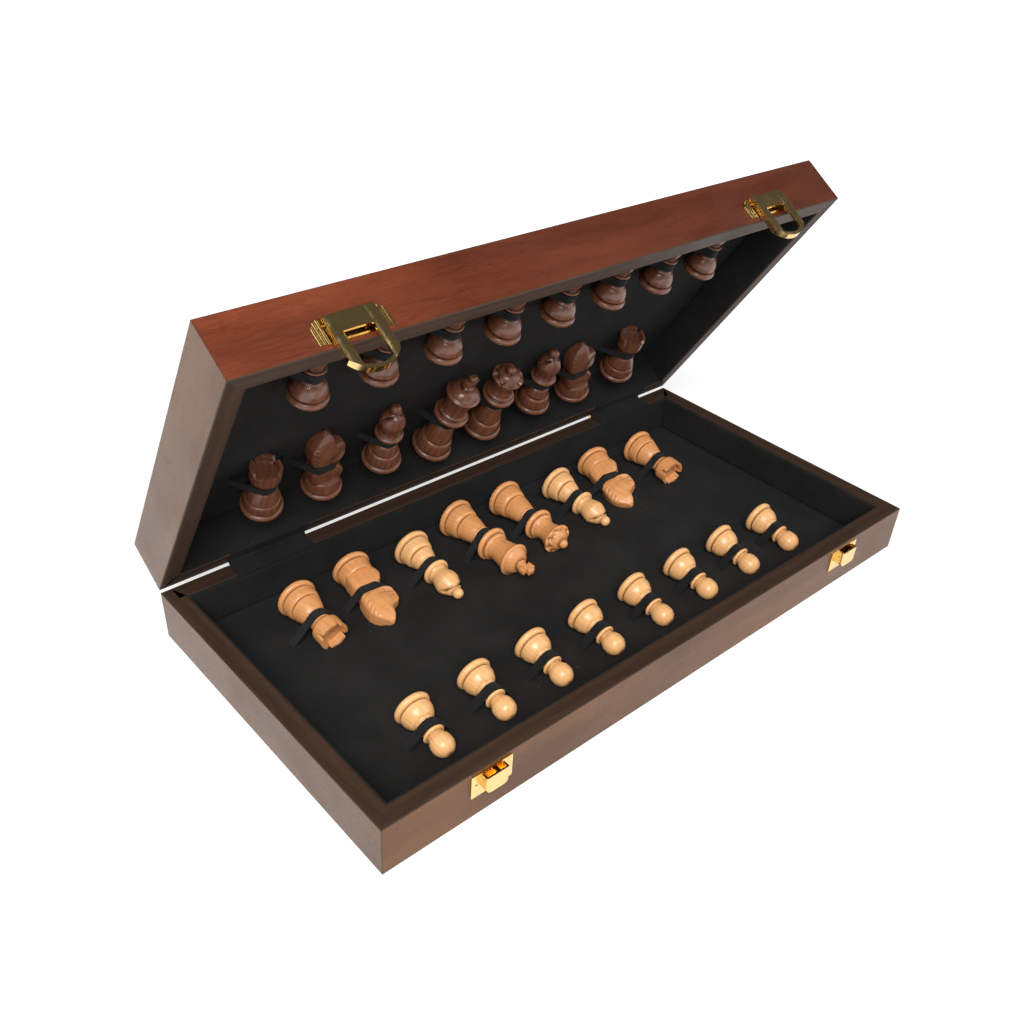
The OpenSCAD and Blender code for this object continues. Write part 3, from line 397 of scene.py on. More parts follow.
def veneer(name, body, colour, dark):
    """Thin squares of one timber, each from its own stretch of the sheet, so tone and figure jump at every joint."""
    material, tree, shader = surface(name, **{"Coat Weight": 0.4, "Coat Roughness": 0.14})
    place = case_place(tree, body)
    cell = vectors(tree, "FLOOR", vectors(tree, "ADD", vectors(tree, "SCALE", place, 1 / SQUARE), (64.0, 64.5, 0.0)))
    cell = vectors(tree, "MULTIPLY", cell, (1.0, 1.0, 0.0))
    chance = put(tree, "ShaderNodeTexWhiteNoise", {"Vector": cell}, noise_dimensions="3D").outputs
    jump = vectors(tree, "MULTIPLY", chance["Color"], (900.0, 60.0, 60.0))
    grain = use(tree, wood_grain(), Place=vectors(tree, "ADD", place, jump), Growth=0.22, Wander=14.0)
    tone = sums(tree, "MULTIPLY_ADD", grain["Figure"], 0.5, sums(tree, "MULTIPLY", grain["Fibres"], 0.5))
    finish = mix(tree, tone, rgb(dark), rgb(colour))
    finish = mix(tree, sums(tree, "MULTIPLY", chance["Value"], 0.22), finish, rgb(dark, 0.8))
    finish = mix(tree, sums(tree, "MULTIPLY", grain["Pores"], 0.35), finish, rgb(dark, 0.4))
    rough = span(tree, blur(tree, place, 0.04, 4.0).outputs[0], 0.3, 0.75, 0.24, 0.4)
    feed(tree, shader, Base_Color=finish, Roughness=rough, Normal=bump(tree, grain["Height"], 0.00003))
    return material


def felt(name, colours):
    """Black wool felt: a matted nap, long clouds where it is brushed, and a few pale specks of lint."""
    material, tree, shader = surface(name, **{
        "Roughness": 0.95, "Specular IOR Level": 0.12,
        "Sheen Weight": 0.1, "Sheen Roughness": 0.45, "Sheen Tint": rgb(colours.felt_nap),
    })
    place = object_place(tree)
    nap = blur(tree, place, 2.3, 4.0, 0.65).outputs[0]
    mat = blur(tree, place, (0.8, 1.3, 0.9), 3.0, 0.6).outputs[0]
    cloud = blur(tree, place, 0.035, 3.0).outputs[0]
    lint = blur(tree, place, (1.9, 0.7, 1.2), 2.0, 0.4).outputs[0]
    colour = mix(tree, span(tree, nap, 0.3, 0.7), rgb(colours.felt, 0.55), rgb(colours.felt, 1.5))
    colour = mix(tree, span(tree, cloud, 0.35, 0.7, 0.0, 0.45), colour, rgb(colours.felt, 1.9))
    colour = mix(tree, span(tree, lint, 0.76, 0.8, 0.0, 0.5), colour, rgb(colours.felt_nap))
    height = sums(tree, "MULTIPLY_ADD", mat, 0.8, nap)
    feed(tree, shader, Base_Color=colour, Normal=bump(tree, height, 0.00035))
    return material


def elastic(name, colours):
    """Flat black elastic: lengthwise ribs crossed by fine picks, on the band's own lengths along and across, with
    painted highlights on the raised ribs and painted shade between them.
    """
    material, tree, shader = surface(name, **{
        "Roughness": 0.62, "Specular IOR Level": 0.25, "Sheen Weight": 0.05, "Sheen Roughness": 0.4,
    })
    weave = put(tree, "ShaderNodeAttribute", attribute_name="weave").outputs["Vector"]
    at = put(tree, "ShaderNodeSeparateXYZ", {0: weave}).outputs
    rib = sums(tree, "COSINE", sums(tree, "MULTIPLY", at[1], 2 * math.pi * 1.5))
    phase = sums(tree, "MULTIPLY_ADD", sums(tree, "FLOOR", sums(tree, "MULTIPLY", at[1], 1.5)), 0.5,
                 sums(tree, "MULTIPLY", at[0], 1.9))
    pick = sums(tree, "SINE", sums(tree, "MULTIPLY", phase, 2 * math.pi))
    fuzz = blur(tree, weave, 1.7, 3.0).outputs[0]
    height = sums(tree, "MULTIPLY_ADD", pick, 0.4, sums(tree, "ADD", rib, fuzz))
    # painted highlight on the tops of the ribs and picks, painted shade in the dips between them
    painted_rib_highlight = span(tree, height, 0.0, 1.8)
    colour = mix(tree, painted_rib_highlight, rgb(colours.elastic, 0.5), rgb(colours.elastic, 1.8))
    feed(tree, shader, Base_Color=colour, Normal=bump(tree, height, 0.0001))
    return material


def turned_wood(name, light, dark, line, gloss, figure=0.35):
    """Close-grained wood on a man's own place: growth lines along its axis, painted shade in the grooves, and raised
    rims paler from wear and painted highlight.
    """
    material, tree, shader = surface(name, **{
        "Coat Weight": gloss, "Coat Roughness": 0.2, "Specular IOR Level": 0.45,
    })
    place = put(tree, "ShaderNodeAttribute", attribute_name="place").outputs["Vector"]
    tone = put(tree, "ShaderNodeAttribute", attribute_name="tone").outputs["Fac"]
    groove = put(tree, "ShaderNodeAttribute", attribute_name="groove").outputs["Fac"]
    grain = use(tree, wood_grain(), Place=place, Growth=line, Wander=6.0)
    streak = blur(tree, place, (0.03, 0.5, 0.5), 4.0, 0.6).outputs[0]
    share = sums(tree, "MULTIPLY_ADD", grain["Figure"], 0.5, sums(tree, "MULTIPLY", grain["Fibres"], 0.3))
    share = sums(tree, "ADD", share, span(tree, streak, 0.4, 0.75, 0.0, 0.35), clamp=True)
    colour = mix(tree, share, rgb(light), rgb(light, 0.86))
    colour = mix(tree, sums(tree, "MULTIPLY", share, sums(tree, "MULTIPLY", tone, figure)), colour, rgb(dark))
    colour = mix(tree, sums(tree, "MULTIPLY", grain["Pores"], 0.2), colour, rgb(dark, 0.6))
    # painted shade: darker the deeper a place lies in a groove or hollow
    colour = mix(tree, span(tree, groove, 0.02, 0.6, 0.0, 0.75), colour, rgb(dark, 0.35))
    # raised rims paler: partly wear, partly painted highlight
    rims = {"Value": groove, "From Min": -0.05, "From Max": -0.5, "To Max": 0.4}
    rim_wear_and_highlight = put(tree, "ShaderNodeMapRange", rims).outputs[0]
    colour = mix(tree, rim_wear_and_highlight, colour, rgb(light, 1.35))
    rough = span(tree, blur(tree, place, 0.12, 4.0).outputs[0], 0.3, 0.75, 0.3, 0.44)
    feed(tree, shader, Base_Color=colour, Roughness=rough, Normal=bump(tree, grain["Height"], 0.00003))
    return material


def brass(name, colour, dark, polish):
    """Pressed brass: brushed along its length, with fine scratches, finger smudges and brown tarnish in clouds."""
    material, tree, shader = surface(name, **{"Metallic": 1.0, "Specular IOR Level": 0.5})
    place = object_place(tree)
    brushed = blur(tree, place, (0.5, 9.0, 9.0), 2.0).outputs[0]
    crossed = blur(tree, place, (7.0, 0.3, 2.0), 1.0).outputs[0]
    scratch = span(tree, crossed, 0.69, 0.72)
    cloud = blur(tree, place, 0.16, 3.0, 0.55).outputs[0]
    smudge = blur(tree, place, 0.16, 3.0).outputs[0]
    tone = mix(tree, span(tree, cloud, 0.5, 0.8, 0.0, 0.4), rgb(colour), rgb(dark))
    tone = mix(tree, sums(tree, "MULTIPLY", scratch, 0.3), tone, rgb(colour, 1.1))
    rough = span(tree, smudge, 0.35, 0.7, polish, polish + 0.1)
    rough = sums(tree, "MULTIPLY_ADD", scratch, 0.12, rough)
    feed(tree, shader, Base_Color=tone, Roughness=rough, Normal=bump(tree, brushed, 0.0000001))
    return material


def finish_nodes(nodes, material):
    """Gives solids of the frame their material in place of the plain one."""
    for node in nodes:
        obj = bpy.data.objects.get(node)
        if obj is None:
            raise RuntimeError("no solid named " + node)
        if obj.material_slots:
            for slot in obj.material_slots:
                slot.material = material
        else:
            obj.data.materials.append(material)


def lengths(line):
    """Length along a line of points up to each of them."""
    return np.concatenate([[0.0], np.cumsum(np.hypot(*np.diff(line, axis=0).T))])


def stretch(points, count, turning=0.5):
    """Stations spread along a line by its length plus its turning, so bends get more of them."""
    step = np.diff(points, axis=0)
    length = np.hypot(*step.T)
    angle = np.unwrap(np.arctan2(step[:, 1], step[:, 0]))
    bend = np.abs(np.gradient(angle)) * turning
    along = np.concatenate([[0.0], np.cumsum(length + np.minimum(bend, 1.5))])
    at = np.linspace(0.0, along[-1], count)
    return np.stack([np.interp(at, along, points[:, k]) for k in range(2)], -1)


# Shapes of the men from their feet up, in millimetres: band (radius, from, to), bead (radius, middle, height),
# stem (first radius, last radius, from, to, bend) and ball (radius, middle)
def foot(r):
    return [("bead", r, 1.9, 3.8), ("band", r - 2.3, 3.0, 4.9)]


MEN = {
    "king": dict(top=58.0, foot=12.0, strap=27.2, neck=5.35, head=(9.9, 51.4), reach=0.37, shape=foot(12.0) + [
        ("stem", 10.7, 7.6, 4.7, 11.7, 0.38), ("band", 6.5, 11.5, 12.9), ("stem", 8.4, 5.6, 12.7, 23, 0.7),
        ("bead", 6.2, 23.8, 1.4), ("stem", 5.4, 5.2, 23, 31.6, 1), ("bead", 10.2, 33, 3.2), ("band", 7.8, 33, 36),
        ("bead", 8.4, 36.3, 2), ("stem", 7.9, 6.9, 36, 40.6, 2), ("stem", 6.9, 9.4, 40.5, 51.2, 0.6),
        ("bead", 9.9, 51.4, 1.6), ("stem", 9.2, 3.6, 51.6, 56.5, 0.5), ("band", 3.4, 56, 58)]),
    "queen": dict(top=58.0, foot=11.75, strap=27.0, neck=5.15, head=(9.05, 49.6), reach=0.37, shape=foot(11.75) + [
        ("stem", 10.4, 7.4, 4.7, 11.5, 0.38), ("band", 6.3, 11.3, 12.7), ("stem", 8.2, 5.5, 12.5, 22.9, 0.7),
        ("bead", 6, 23.6, 1.4), ("stem", 5.2, 5, 23, 31.8, 1), ("bead", 9.7, 33, 3), ("band", 7.4, 33, 36),
        ("bead", 8, 36, 2), ("stem", 7.6, 6, 36, 41.6, 2), ("stem", 6, 8.8, 41.5, 49.5, 0.6),
        ("band", 9.05, 48.9, 50.6), ("stem", 7.4, 3, 50.5, 54, 0.5), ("ball", 2.8, 55.2)]),
    "bishop": dict(top=48.4, foot=11.25, strap=21.0, neck=5.1, head=(7.15, 36.4), reach=0.4, shape=foot(11.25) + [
        ("stem", 9.8, 7.1, 4.7, 10.9, 0.38), ("band", 6.0, 10.7, 12.1), ("stem", 7.6, 5.5, 11.9, 17.2, 0.7),
        ("stem", 5.2, 4.9, 17, 24.2, 1), ("bead", 7.9, 25.3, 2.6), ("stem", 7.2, 5.5, 25.6, 29.5, 2),
        ("stem", 5.5, 7.15, 29.4, 36.4, 2), ("stem", 7.15, 2.6, 36.3, 43.6, 0.6), ("ball", 3.1, 45.3)]),
    "rook": dict(top=36.5, foot=11.25, strap=22.5, neck=5.65, head=(8.1, 36.5), reach=0.45, shape=foot(11.25) + [
        ("stem", 10.1, 8.7, 4.7, 10.3, 0.45), ("band", 7.7, 10.1, 11.5), ("stem", 8.8, 5.8, 11.3, 18.9, 0.72),
        ("stem", 5.7, 5.5, 18.6, 26.4, 1), ("stem", 5.6, 8.1, 26.2, 29.4, 2), ("band", 8.1, 29.3, 36.5)]),
    "pawn": dict(top=32.55, foot=9.75, strap=15.9, neck=4.65, head=(5.85, 26.2), reach=0.345, shape=foot(9.75) + [
        ("stem", 8.6, 8.2, 4.7, 7.6, 0.5), ("stem", 8.3, 5, 7.5, 11.8, 0.5), ("bead", 5.3, 12, 1.2),
        ("stem", 4.7, 4.5, 12, 19, 1), ("bead", 5.8, 19.4, 1.3), ("band", 4.2, 19.4, 22), ("ball", 5.85, 25.7),
        ("ball", 5.85, 26.75)]),
    "knight": dict(top=11.0, foot=11.25, strap=23.7, neck=6.2, head=(5.2, 36.0), reach=0.43, shape=foot(11.25) + [
        ("stem", 10.1, 8.4, 4.7, 11, 0.5)]),
}
ROW = ["rook", "knight", "bishop", "king", "queen", "bishop", "knight", "rook"]
NAMES = ["kings_rook", "kings_knight", "kings_bishop", "king", "queen",
         "queens_bishop", "queens_knight", "queens_rook"]
ROW_Y = 73.0 - np.array([6.5, 2, 7, 0, 1, 7, 2, 6.5])
PAWN_Y = -34.5
COLUMN_X = np.linspace(-131.5, 131.5, 8)
PITCH = COLUMN_X[1] - COLUMN_X[0]
# turns and rolls are in degrees from lying straight with the head to the catches
SIDES = {
    "light": dict(
        body="base", place=as_drawn, slot="boxwood", seed=0, shift=1.0,
        turns=[1, -4, -1.2, 2.6, -1, 1, -9, -4], rolls=[0, 0, 0, 0, 0, 0, 22, 0],
        pawn_turns=[-1.8, -1.6, -1, -1.4, -0.6, -1.4, -1.6, -2]),
    "dark": dict(
        body="lid", place=to_lid, slot="rosewood", seed=50, shift=0.0,
        turns=[-6, -6.5, -4, 2.5, -2.5, -3.5, -14, -9], rolls=[0] * 8,
        pawn_turns=[0] * 8),
}
TOUCH = 0.06  # how far a lying man's rims stay off the felt


def radius_at(shape, z):
    """The largest radius at each station of all the bands, beads, stems and balls of a shape."""
    radius = np.zeros_like(z)
    for kind, *v in shape:
        if kind == "band":
            part = np.where((z >= v[1]) & (z <= v[2]), v[0], 0.0)
        elif kind == "bead":
            off, half = z - v[1], v[2] / 2
            part = np.where(np.abs(off) <= half, v[0] - half + np.sqrt(np.clip(half**2 - off**2, 0, None)), 0.0)
        elif kind == "stem":
            t = np.clip((z - v[2]) / (v[3] - v[2]), 0, 1)
            part = np.where((z >= v[2]) & (z <= v[3]), v[1] + (v[0] - v[1]) * (1 - t) ** v[4], 0.0)
        else:
            part = np.sqrt(np.clip(v[0] ** 2 - (z - v[1]) ** 2, 0, None))
        radius = np.maximum(radius, part)
    return radius


def outline_of(kind, count):
    """Half section of a man from its foot up: radius, station and how deep each place lies in a groove."""
    man = MEN[kind]
    z = np.linspace(0.0, man["top"], 1600)
    r = radius_at(man["shape"], z)
    step = z[1] - z[0]

    def smooth(values, width):
        reach = max(1, int(width / step))
        kernel = np.hanning(2 * reach + 3)[1:-1]
        padded = np.pad(values, reach, mode="edge")
        return np.convolve(padded, kernel / kernel.sum(), "valid")

    soft = smooth(r, 0.24)
    # groove is positive in hollows and negative on raised rims; the wood paints shade and highlight from it
    groove = smooth(r, 2.2) - soft
    line = np.stack([soft, z], -1)
    if kind == "rook":
        cup = np.array([[8.1, 36.5], [6.45, 36.5], [6.3, 36.2], [6.1, 33.2], [5.7, 32.8], [0.6, 32.6]])
        fine = np.concatenate([np.linspace(a, b, 30) for a, b in zip(cup[:-1], cup[1:])])
        line = np.concatenate([line, fine])
        # the inside of the rook's top counts as a groove, so shade is painted in it
        groove = np.concatenate([groove, np.full(len(fine), 0.15)])
    got = stretch(line, count)
    return got[:, 0], got[:, 1], np.interp(lengths(got), lengths(line) + 1e-6 * np.arange(len(line)), groove)


def lean_of(kind):
    """Slope at which a man lies on the felt on the rims of its foot and head, and the height of its foot's middle."""
    man = MEN[kind]
    lean = math.atan2(man["foot"] - man["head"][0], man["head"][1] - 3.0)
    return lean, TOUCH + man["foot"] * math.cos(lean) + 3.0 * math.sin(lean)


def lay(points, kind, x, y, turn, side):
    """Lays points drawn about an upright axis on the felt, the head to the catches: up becomes forward and y up."""
    lean, up = lean_of(kind)
    c, s = math.cos(lean), math.sin(lean)
    px, py, pz = np.moveaxis(np.asarray(points, float), -1, 0)
    qx, qy, qz = px, -py * s - pz * c, py * c - pz * s
    c, s = math.cos(math.radians(turn)), math.sin(math.radians(turn))
    laid = np.stack([c * qx - s * qy + x, s * qx + c * qy + y, qz + FLOOR_Z + up], -1)
    return SIDES[side]["place"](laid)


def lathe(kind, rows=128, cols=72):
    """A man's shape: its outline carried round its axis. Rooks get saw cuts, queens scoops and bishops a slot."""
    r, z, groove = outline_of(kind, rows)
    turn = np.linspace(0, 2 * math.pi, cols, endpoint=False)
    r, z, groove = (np.repeat(v[:, None], cols, 1) for v in (r, z, groove))
    turn = np.repeat(turn[None], rows, 0)
    if kind == "rook":
        # four merlons: each quarter is shared between half a cut, a merlon and half a cut, whose sides are parallel
        side = np.linspace(0, 4, cols, endpoint=False)
        quarter, share = np.floor(side), side % 1.0
        edge = np.arcsin(np.clip(0.85 / np.maximum(r, 1.0), 0, 1))
        gap = share[None] < 0.25
        inside = (share[None] / 0.25) * 2 - 1
        across = (share[None] - 0.25) / 0.73
        angle = np.where(gap, inside * edge, edge + np.clip(across, 0, 1) * (math.pi / 2 - 2 * edge))
        turn = (quarter[None] + 0.5) * math.pi / 2 + angle + math.radians(24)
        high = z > 32.8
        z = np.where(gap & high, 32.8, z)
    if kind == "queen":
        off = (turn % (math.pi / 4)) - math.pi / 8
        across = off * r
        scoop = 50.9 - np.sqrt(np.clip(1.45**2 - across**2, 0, None)) * 1.05
        cut = (np.abs(across) < 1.45) & (r > 6.2) & (z > 48.5)
        z = np.where(cut, np.minimum(z, scoop), z)
    points = np.stack([r * np.cos(turn), r * np.sin(turn), z], -1)
    if kind == "bishop":
        # slot: places near a plane that slants through the bulb sink inwards
        lift = (points[..., 2] - 40.2) * math.cos(0.6) - points[..., 1] * math.sin(0.6)
        near = np.clip(1 - (np.abs(lift) / 0.75) ** 4, 0, 1) * (points[..., 1] > -1.2) * (z > 33)
        points[..., :2] *= (1 - 0.42 * near)[..., None]
        # the slot counts as a groove, so shade is painted in it
        groove = groove + 0.8 * near
    return points, groove


def cross_of_king():
    """The king's cross: a flared outline, carried through its thickness and drawn in a little at both faces."""
    h = 8.3
    arm = np.array([[0.15, 0.15], [0.27, 0.5], [-0.27, 0.5], [-0.15, 0.15]]) * h
    turns = [np.array([[math.cos(a), -math.sin(a)], [math.sin(a), math.cos(a)]]) for a in np.arange(4) * math.pi / 2]
    ring = np.concatenate([arm @ t.T for t in turns])
    ring = np.concatenate([ring, ring[:1]])
    outline = np.concatenate([np.linspace(a, b, 6, endpoint=False) for a, b in zip(ring[:-1], ring[1:])])
    depth = np.array([-1.85, -1.8, -1.45, 0.0, 1.45, 1.8, 1.85])
    share = np.array([0.8, 0.9, 1.0, 1.0, 1.0, 0.9, 0.8])
    grid = np.stack([outline[None, :, 0] * share[:, None], np.repeat(depth[:, None], len(outline), 1),
                     outline[None, :, 1] * share[:, None] + 57.6 + h / 2], -1)
    ends = np.array([[0, -1.9, 57.6 + h / 2], [0, 1.9, 57.6 + h / 2]])
    return grid, ends


def own_place(points, seed):
    """A man's own coordinates with the grain along its axis, moved by a step of its own so that no two are alike."""
    step = np.random.default_rng(seed).uniform(-60, 60, 3)
    off = np.array([step[0] * 6, 5.0 + abs(step[1]) * 0.25, 3.0 + abs(step[2]) * 0.2])
    return points[..., [2, 0, 1]] + off


def add_man(shell, kind, x, y, turn, side, seed, rows=128, cols=72):
    """Adds one turned man to a shell."""
    points, groove = lathe(kind, rows, cols)
    tone = np.random.default_rng(seed + 7).uniform(0.25, 0.75)
    top = points[-1].mean(0)
    flip = side == "dark"
    first = points[0].mean(0) * [0, 0, 1]

    def where(p):
        return lay(p, kind, x, y, turn, side)

    shell.grid(where(points), wrap=True, start=where(first), end=where(top * [0, 0, 1]), flip=flip,
               place=own_place(points, seed), tone=np.full(points.shape[:2], tone), groove=groove)
    if kind == "king":
        grid, ends = cross_of_king()
        shell.grid(where(grid), wrap=True, start=where(ends[0]), end=where(ends[1]), flip=not flip,
                   place=own_place(grid, seed), tone=np.full(grid.shape[:2], tone), groove=np.zeros(grid.shape[:2]))


def knight_head(rows=150, cols=72):
    """A knight from chest to ears: a rounded oblong section whose front, back and half thickness change with height.

    Cheek, eye, nostril, mouth and the locks of the mane are small rises and hollows of its two sides.
    """
    front = np.array([[8.6, 9], [9.6, 12.6], [9.9, 15.6], [8.3, 18.8], [5.4, 21.6], [4.1, 23.4], [4.5, 25.4],
                      [8.6, 26.1], [10.8, 27.2], [11.2, 29.6], [10.8, 34.0], [9.4, 36.0], [6.4, 37.4], [4.4, 39.0],
                      [3.6, 41.6], [3.0, 43.6], [1.2, 46.2], [-0.4, 47.4]])
    back = np.array([[-8.4, 9], [-8.9, 13], [-8.9, 18], [-7.6, 22.6], [-7.7, 25.2], [-9.2, 27.2], [-9.7, 32],
                     [-9.5, 37.6], [-8.2, 41], [-5.8, 43.6], [-3.4, 45.2], [-2.2, 46.2], [-1.2, 47.4]])
    half = np.array([[5.6, 9], [6.4, 13], [6.3, 18], [5.7, 22], [5.7, 25], [6.5, 28], [6.3, 34], [5.4, 39], [4.2, 43],
                     [2.6, 46], [0.9, 47.4]])
    z = np.concatenate([np.linspace(9, 46.6, rows - 8), 47.45 - 0.8 * np.linspace(1, 0.02, 8) ** 1.6])
    kernel = np.hanning(7)[1:-1]
    kernel /= kernel.sum()

    def smooth(values):
        return np.convolve(np.pad(values, 2, mode="edge"), kernel, "valid")

    x1, x0, t = (smooth(np.interp(z, v[:, 1], v[:, 0])) for v in (front, back, half))
    tip = np.sqrt(np.clip((47.5 - z) / 0.9, 0, 1))
    middle, wide = (x1 + x0) / 2, (x1 - x0) / 2 * tip
    turn = np.linspace(0, 2 * math.pi, cols, endpoint=False) + 0.02
    soft = 2 / 4.8
    across = np.sign(np.cos(turn)) * np.abs(np.cos(turn)) ** soft
    out = np.sign(np.sin(turn)) * np.abs(np.sin(turn)) ** soft
    x = middle[:, None] + wide[:, None] * across
    y = (t * tip)[:, None] * out
    zz = np.repeat(z[:, None], cols, 1)

    def near(px, pz, rx, rz):
        return np.exp(-(((x - px) / rx) ** 2 + ((zz - pz) / rz) ** 2))

    def ease(v, a, b):
        v = np.clip((v - a) / (b - a), 0, 1)
        return v * v * (3 - 2 * v)

    side = ease(np.abs(out[None]), 0.55, 0.95)
    muzzle = ease(x, 1.0, 9.5) * ease(zz, 25.5, 28.5)
    y = y * (1 - 0.42 * muzzle)
    poll = ease(zz, 41, 46) * ease(-x, -3, 1)
    y = y * (1 - 0.1 * poll)
    lift = 0.55 * near(-0.6, 33.2, 4.2, 4.4) + 0.5 * near(3.4, 38.2, 0.9, 0.8) - 0.55 * near(3.4, 38.2, 1.9, 1.6)
    lift -= 0.55 * near(8.4, 31.6, 0.75, 0.6)
    mouth = np.abs(zz - (29.2 + 0.12 * (9.5 - x)))
    lift -= 0.6 * np.exp(-((mouth / 0.38) ** 2)) * ease(x, 5.0, 6.4)
    jaw = np.abs((x - 3.6) + 0.55 * (zz - 30.5))
    lift -= 0.4 * np.exp(-((jaw / 0.6) ** 2)) * ease(zz, 26.5, 28) * ease(-zz, -37, -34)
    locks = np.abs((zz + 0.6 * x) % 3.2 - 1.6)
    lift -= 0.42 * np.exp(-((locks / 0.42) ** 2)) * ease(-x, 5.6, 6.6) * ease(zz, 27, 29) * ease(-zz, -43.5, -41)
    y = y + np.sign(out[None]) * side * lift
    # the depth of the hollows becomes the groove value, which paints shade in them
    groove = np.clip(-lift, 0, 1) * side
    return np.stack([x, y, zz], -1), groove


def ribbon(held, reach, drop, station):
    """A flat elastic over a lying man: leg, rounded corner, top, corner, leg. Its section is a thin ribbed oblong."""
    middle, half_w, half_t, corner = held
    angle = []
    for s in (1, -1):
        px, py = reach - s * middle - half_w + corner, drop + half_t - corner
        angle.append(math.acos((corner + 0.4) / math.hypot(px, py)) - math.atan2(py, px))
    parts, normals = [], []
    for s, a in zip((1, -1), angle):
        phi = np.linspace(a, math.pi / 2, 22)
        centre = np.array([middle + s * (half_w - corner), half_t - corner])
        out = np.stack([s * np.cos(phi), np.sin(phi)], -1)
        bend = centre + corner * out
        length = (bend[0, 1] + drop + 1.2) / math.cos(a)
        along = np.linspace(1, 0, 16)[:-1, None] * length
        leg = bend[0] + along * np.array([s * math.sin(a), -math.cos(a)])
        # a stretched band bows out a little between the man and the felt
        leg = leg + out[0] * (0.25 * np.sin(np.linspace(0, math.pi, 15)) ** 2)[:, None]
        line = np.concatenate([leg, bend])
        norm = np.concatenate([np.repeat(out[:1], 15, 0), out])
        parts.append(line if s == 1 else line[::-1])
        normals.append(norm if s == 1 else norm[::-1])
    line, normal = np.concatenate(parts), np.concatenate(normals)
    keep = np.concatenate([[True], np.hypot(*np.diff(line, axis=0).T) > 1e-4])
    line, normal = line[keep], normal[keep]
    thick, flat_w = 0.8, 2.1  # thickness, and half the width between its rounded edges
    top = np.linspace(flat_w, -flat_w, 29)
    ribs = thick + 0.05 * np.cos((top / flat_w + 1) * math.pi * 6)
    turn = np.linspace(math.pi / 2, 3 * math.pi / 2, 7)[1:-1]
    edge = np.stack([-flat_w + thick / 2 * np.cos(turn), thick / 2 + thick / 2 * np.sin(turn)], -1)
    under = np.stack([np.linspace(-flat_w, flat_w, 7), np.full(7, 0.02)], -1)
    ring = np.concatenate([np.stack([top, ribs], -1), edge, under, [0, thick] - edge])
    along = lengths(line)
    flat = line[:, None] + normal[:, None] * ring[None, :, 1:2]
    points = np.concatenate([flat, np.broadcast_to(station + ring[None, :, :1], flat.shape[:2] + (1,))], -1)
    weave = np.stack([np.repeat(along[:, None], len(ring), 1), np.broadcast_to(ring[:, 0], flat.shape[:2]),
                      np.broadcast_to(ring[:, 1], flat.shape[:2])], -1)
    feet = np.array([[*line[0], station], [*line[-1], station]])
    return points, weave, feet


def held_by(kind):
    """What an elastic lies over: middle, half width, half thickness and corner radius."""
    if kind == "knight":
        return (-1.75, 6.05, 5.85, 2.6)
    r = MEN[kind]["neck"] + 0.08
    return (0.0, r, r, r)


def keep_men(how, shell, wood, side, name):
    """Makes a piece of the man or men in a shell, in place of the node of that name."""
    make_piece(f"{how}_{side}_{name}", shell, wood, SIDES[side]["body"], [f"{side}_{name}"])


def men_of(side):
    """Kind, x, y, turn and roll of the eight men of the back row, and then of the eight pawns."""
    facts = SIDES[side]
    row = [(kind, x + facts["shift"], y, turn, roll)
           for kind, x, y, turn, roll in zip(ROW, COLUMN_X, ROW_Y, facts["turns"], facts["rolls"])]
    pawns = [("pawn", x + facts["shift"], PAWN_Y, t, 0) for x, t in zip(COLUMN_X, facts["pawn_turns"])]
    return row, pawns


def band_over(kind, x, y, turn, side):
    """A man's elastic in place, with the two places where it enters the felt."""
    lean, up = lean_of(kind)
    station = MEN[kind]["strap"]
    drop = (up - station * math.sin(lean)) / math.cos(lean)
    points, weave, feet = ribbon(held_by(kind), PITCH * MEN[kind]["reach"], drop, station)
    return lay(points, kind, x, y, turn, side), weave, lay(feet, kind, x, y, turn, side)


def wave(x, y, seed, size):
    """A gentle unevenness: a sum of a few long ripples in chosen directions."""
    chance = np.random.default_rng(seed)
    total = np.zeros(np.broadcast(x, y).shape)
    for _ in range(9):
        a, length, phase = chance.uniform(0, math.pi), chance.uniform(14, 60), chance.uniform(0, 2 * math.pi)
        total = total + np.sin((x * math.cos(a) + y * math.sin(a)) * 2 * math.pi / length + phase)
    return total * size / 3


def notches():
    """Spans of the back rail, in x, where the felt is cut down for the hinges."""
    spans = []
    for name in ("left_hinge_base_leaf", "right_hinge_base_leaf"):
        lo, hi = corners(name)
        spans.append((lo[0] - 1.5, hi[0] + 1.5))
    return spans


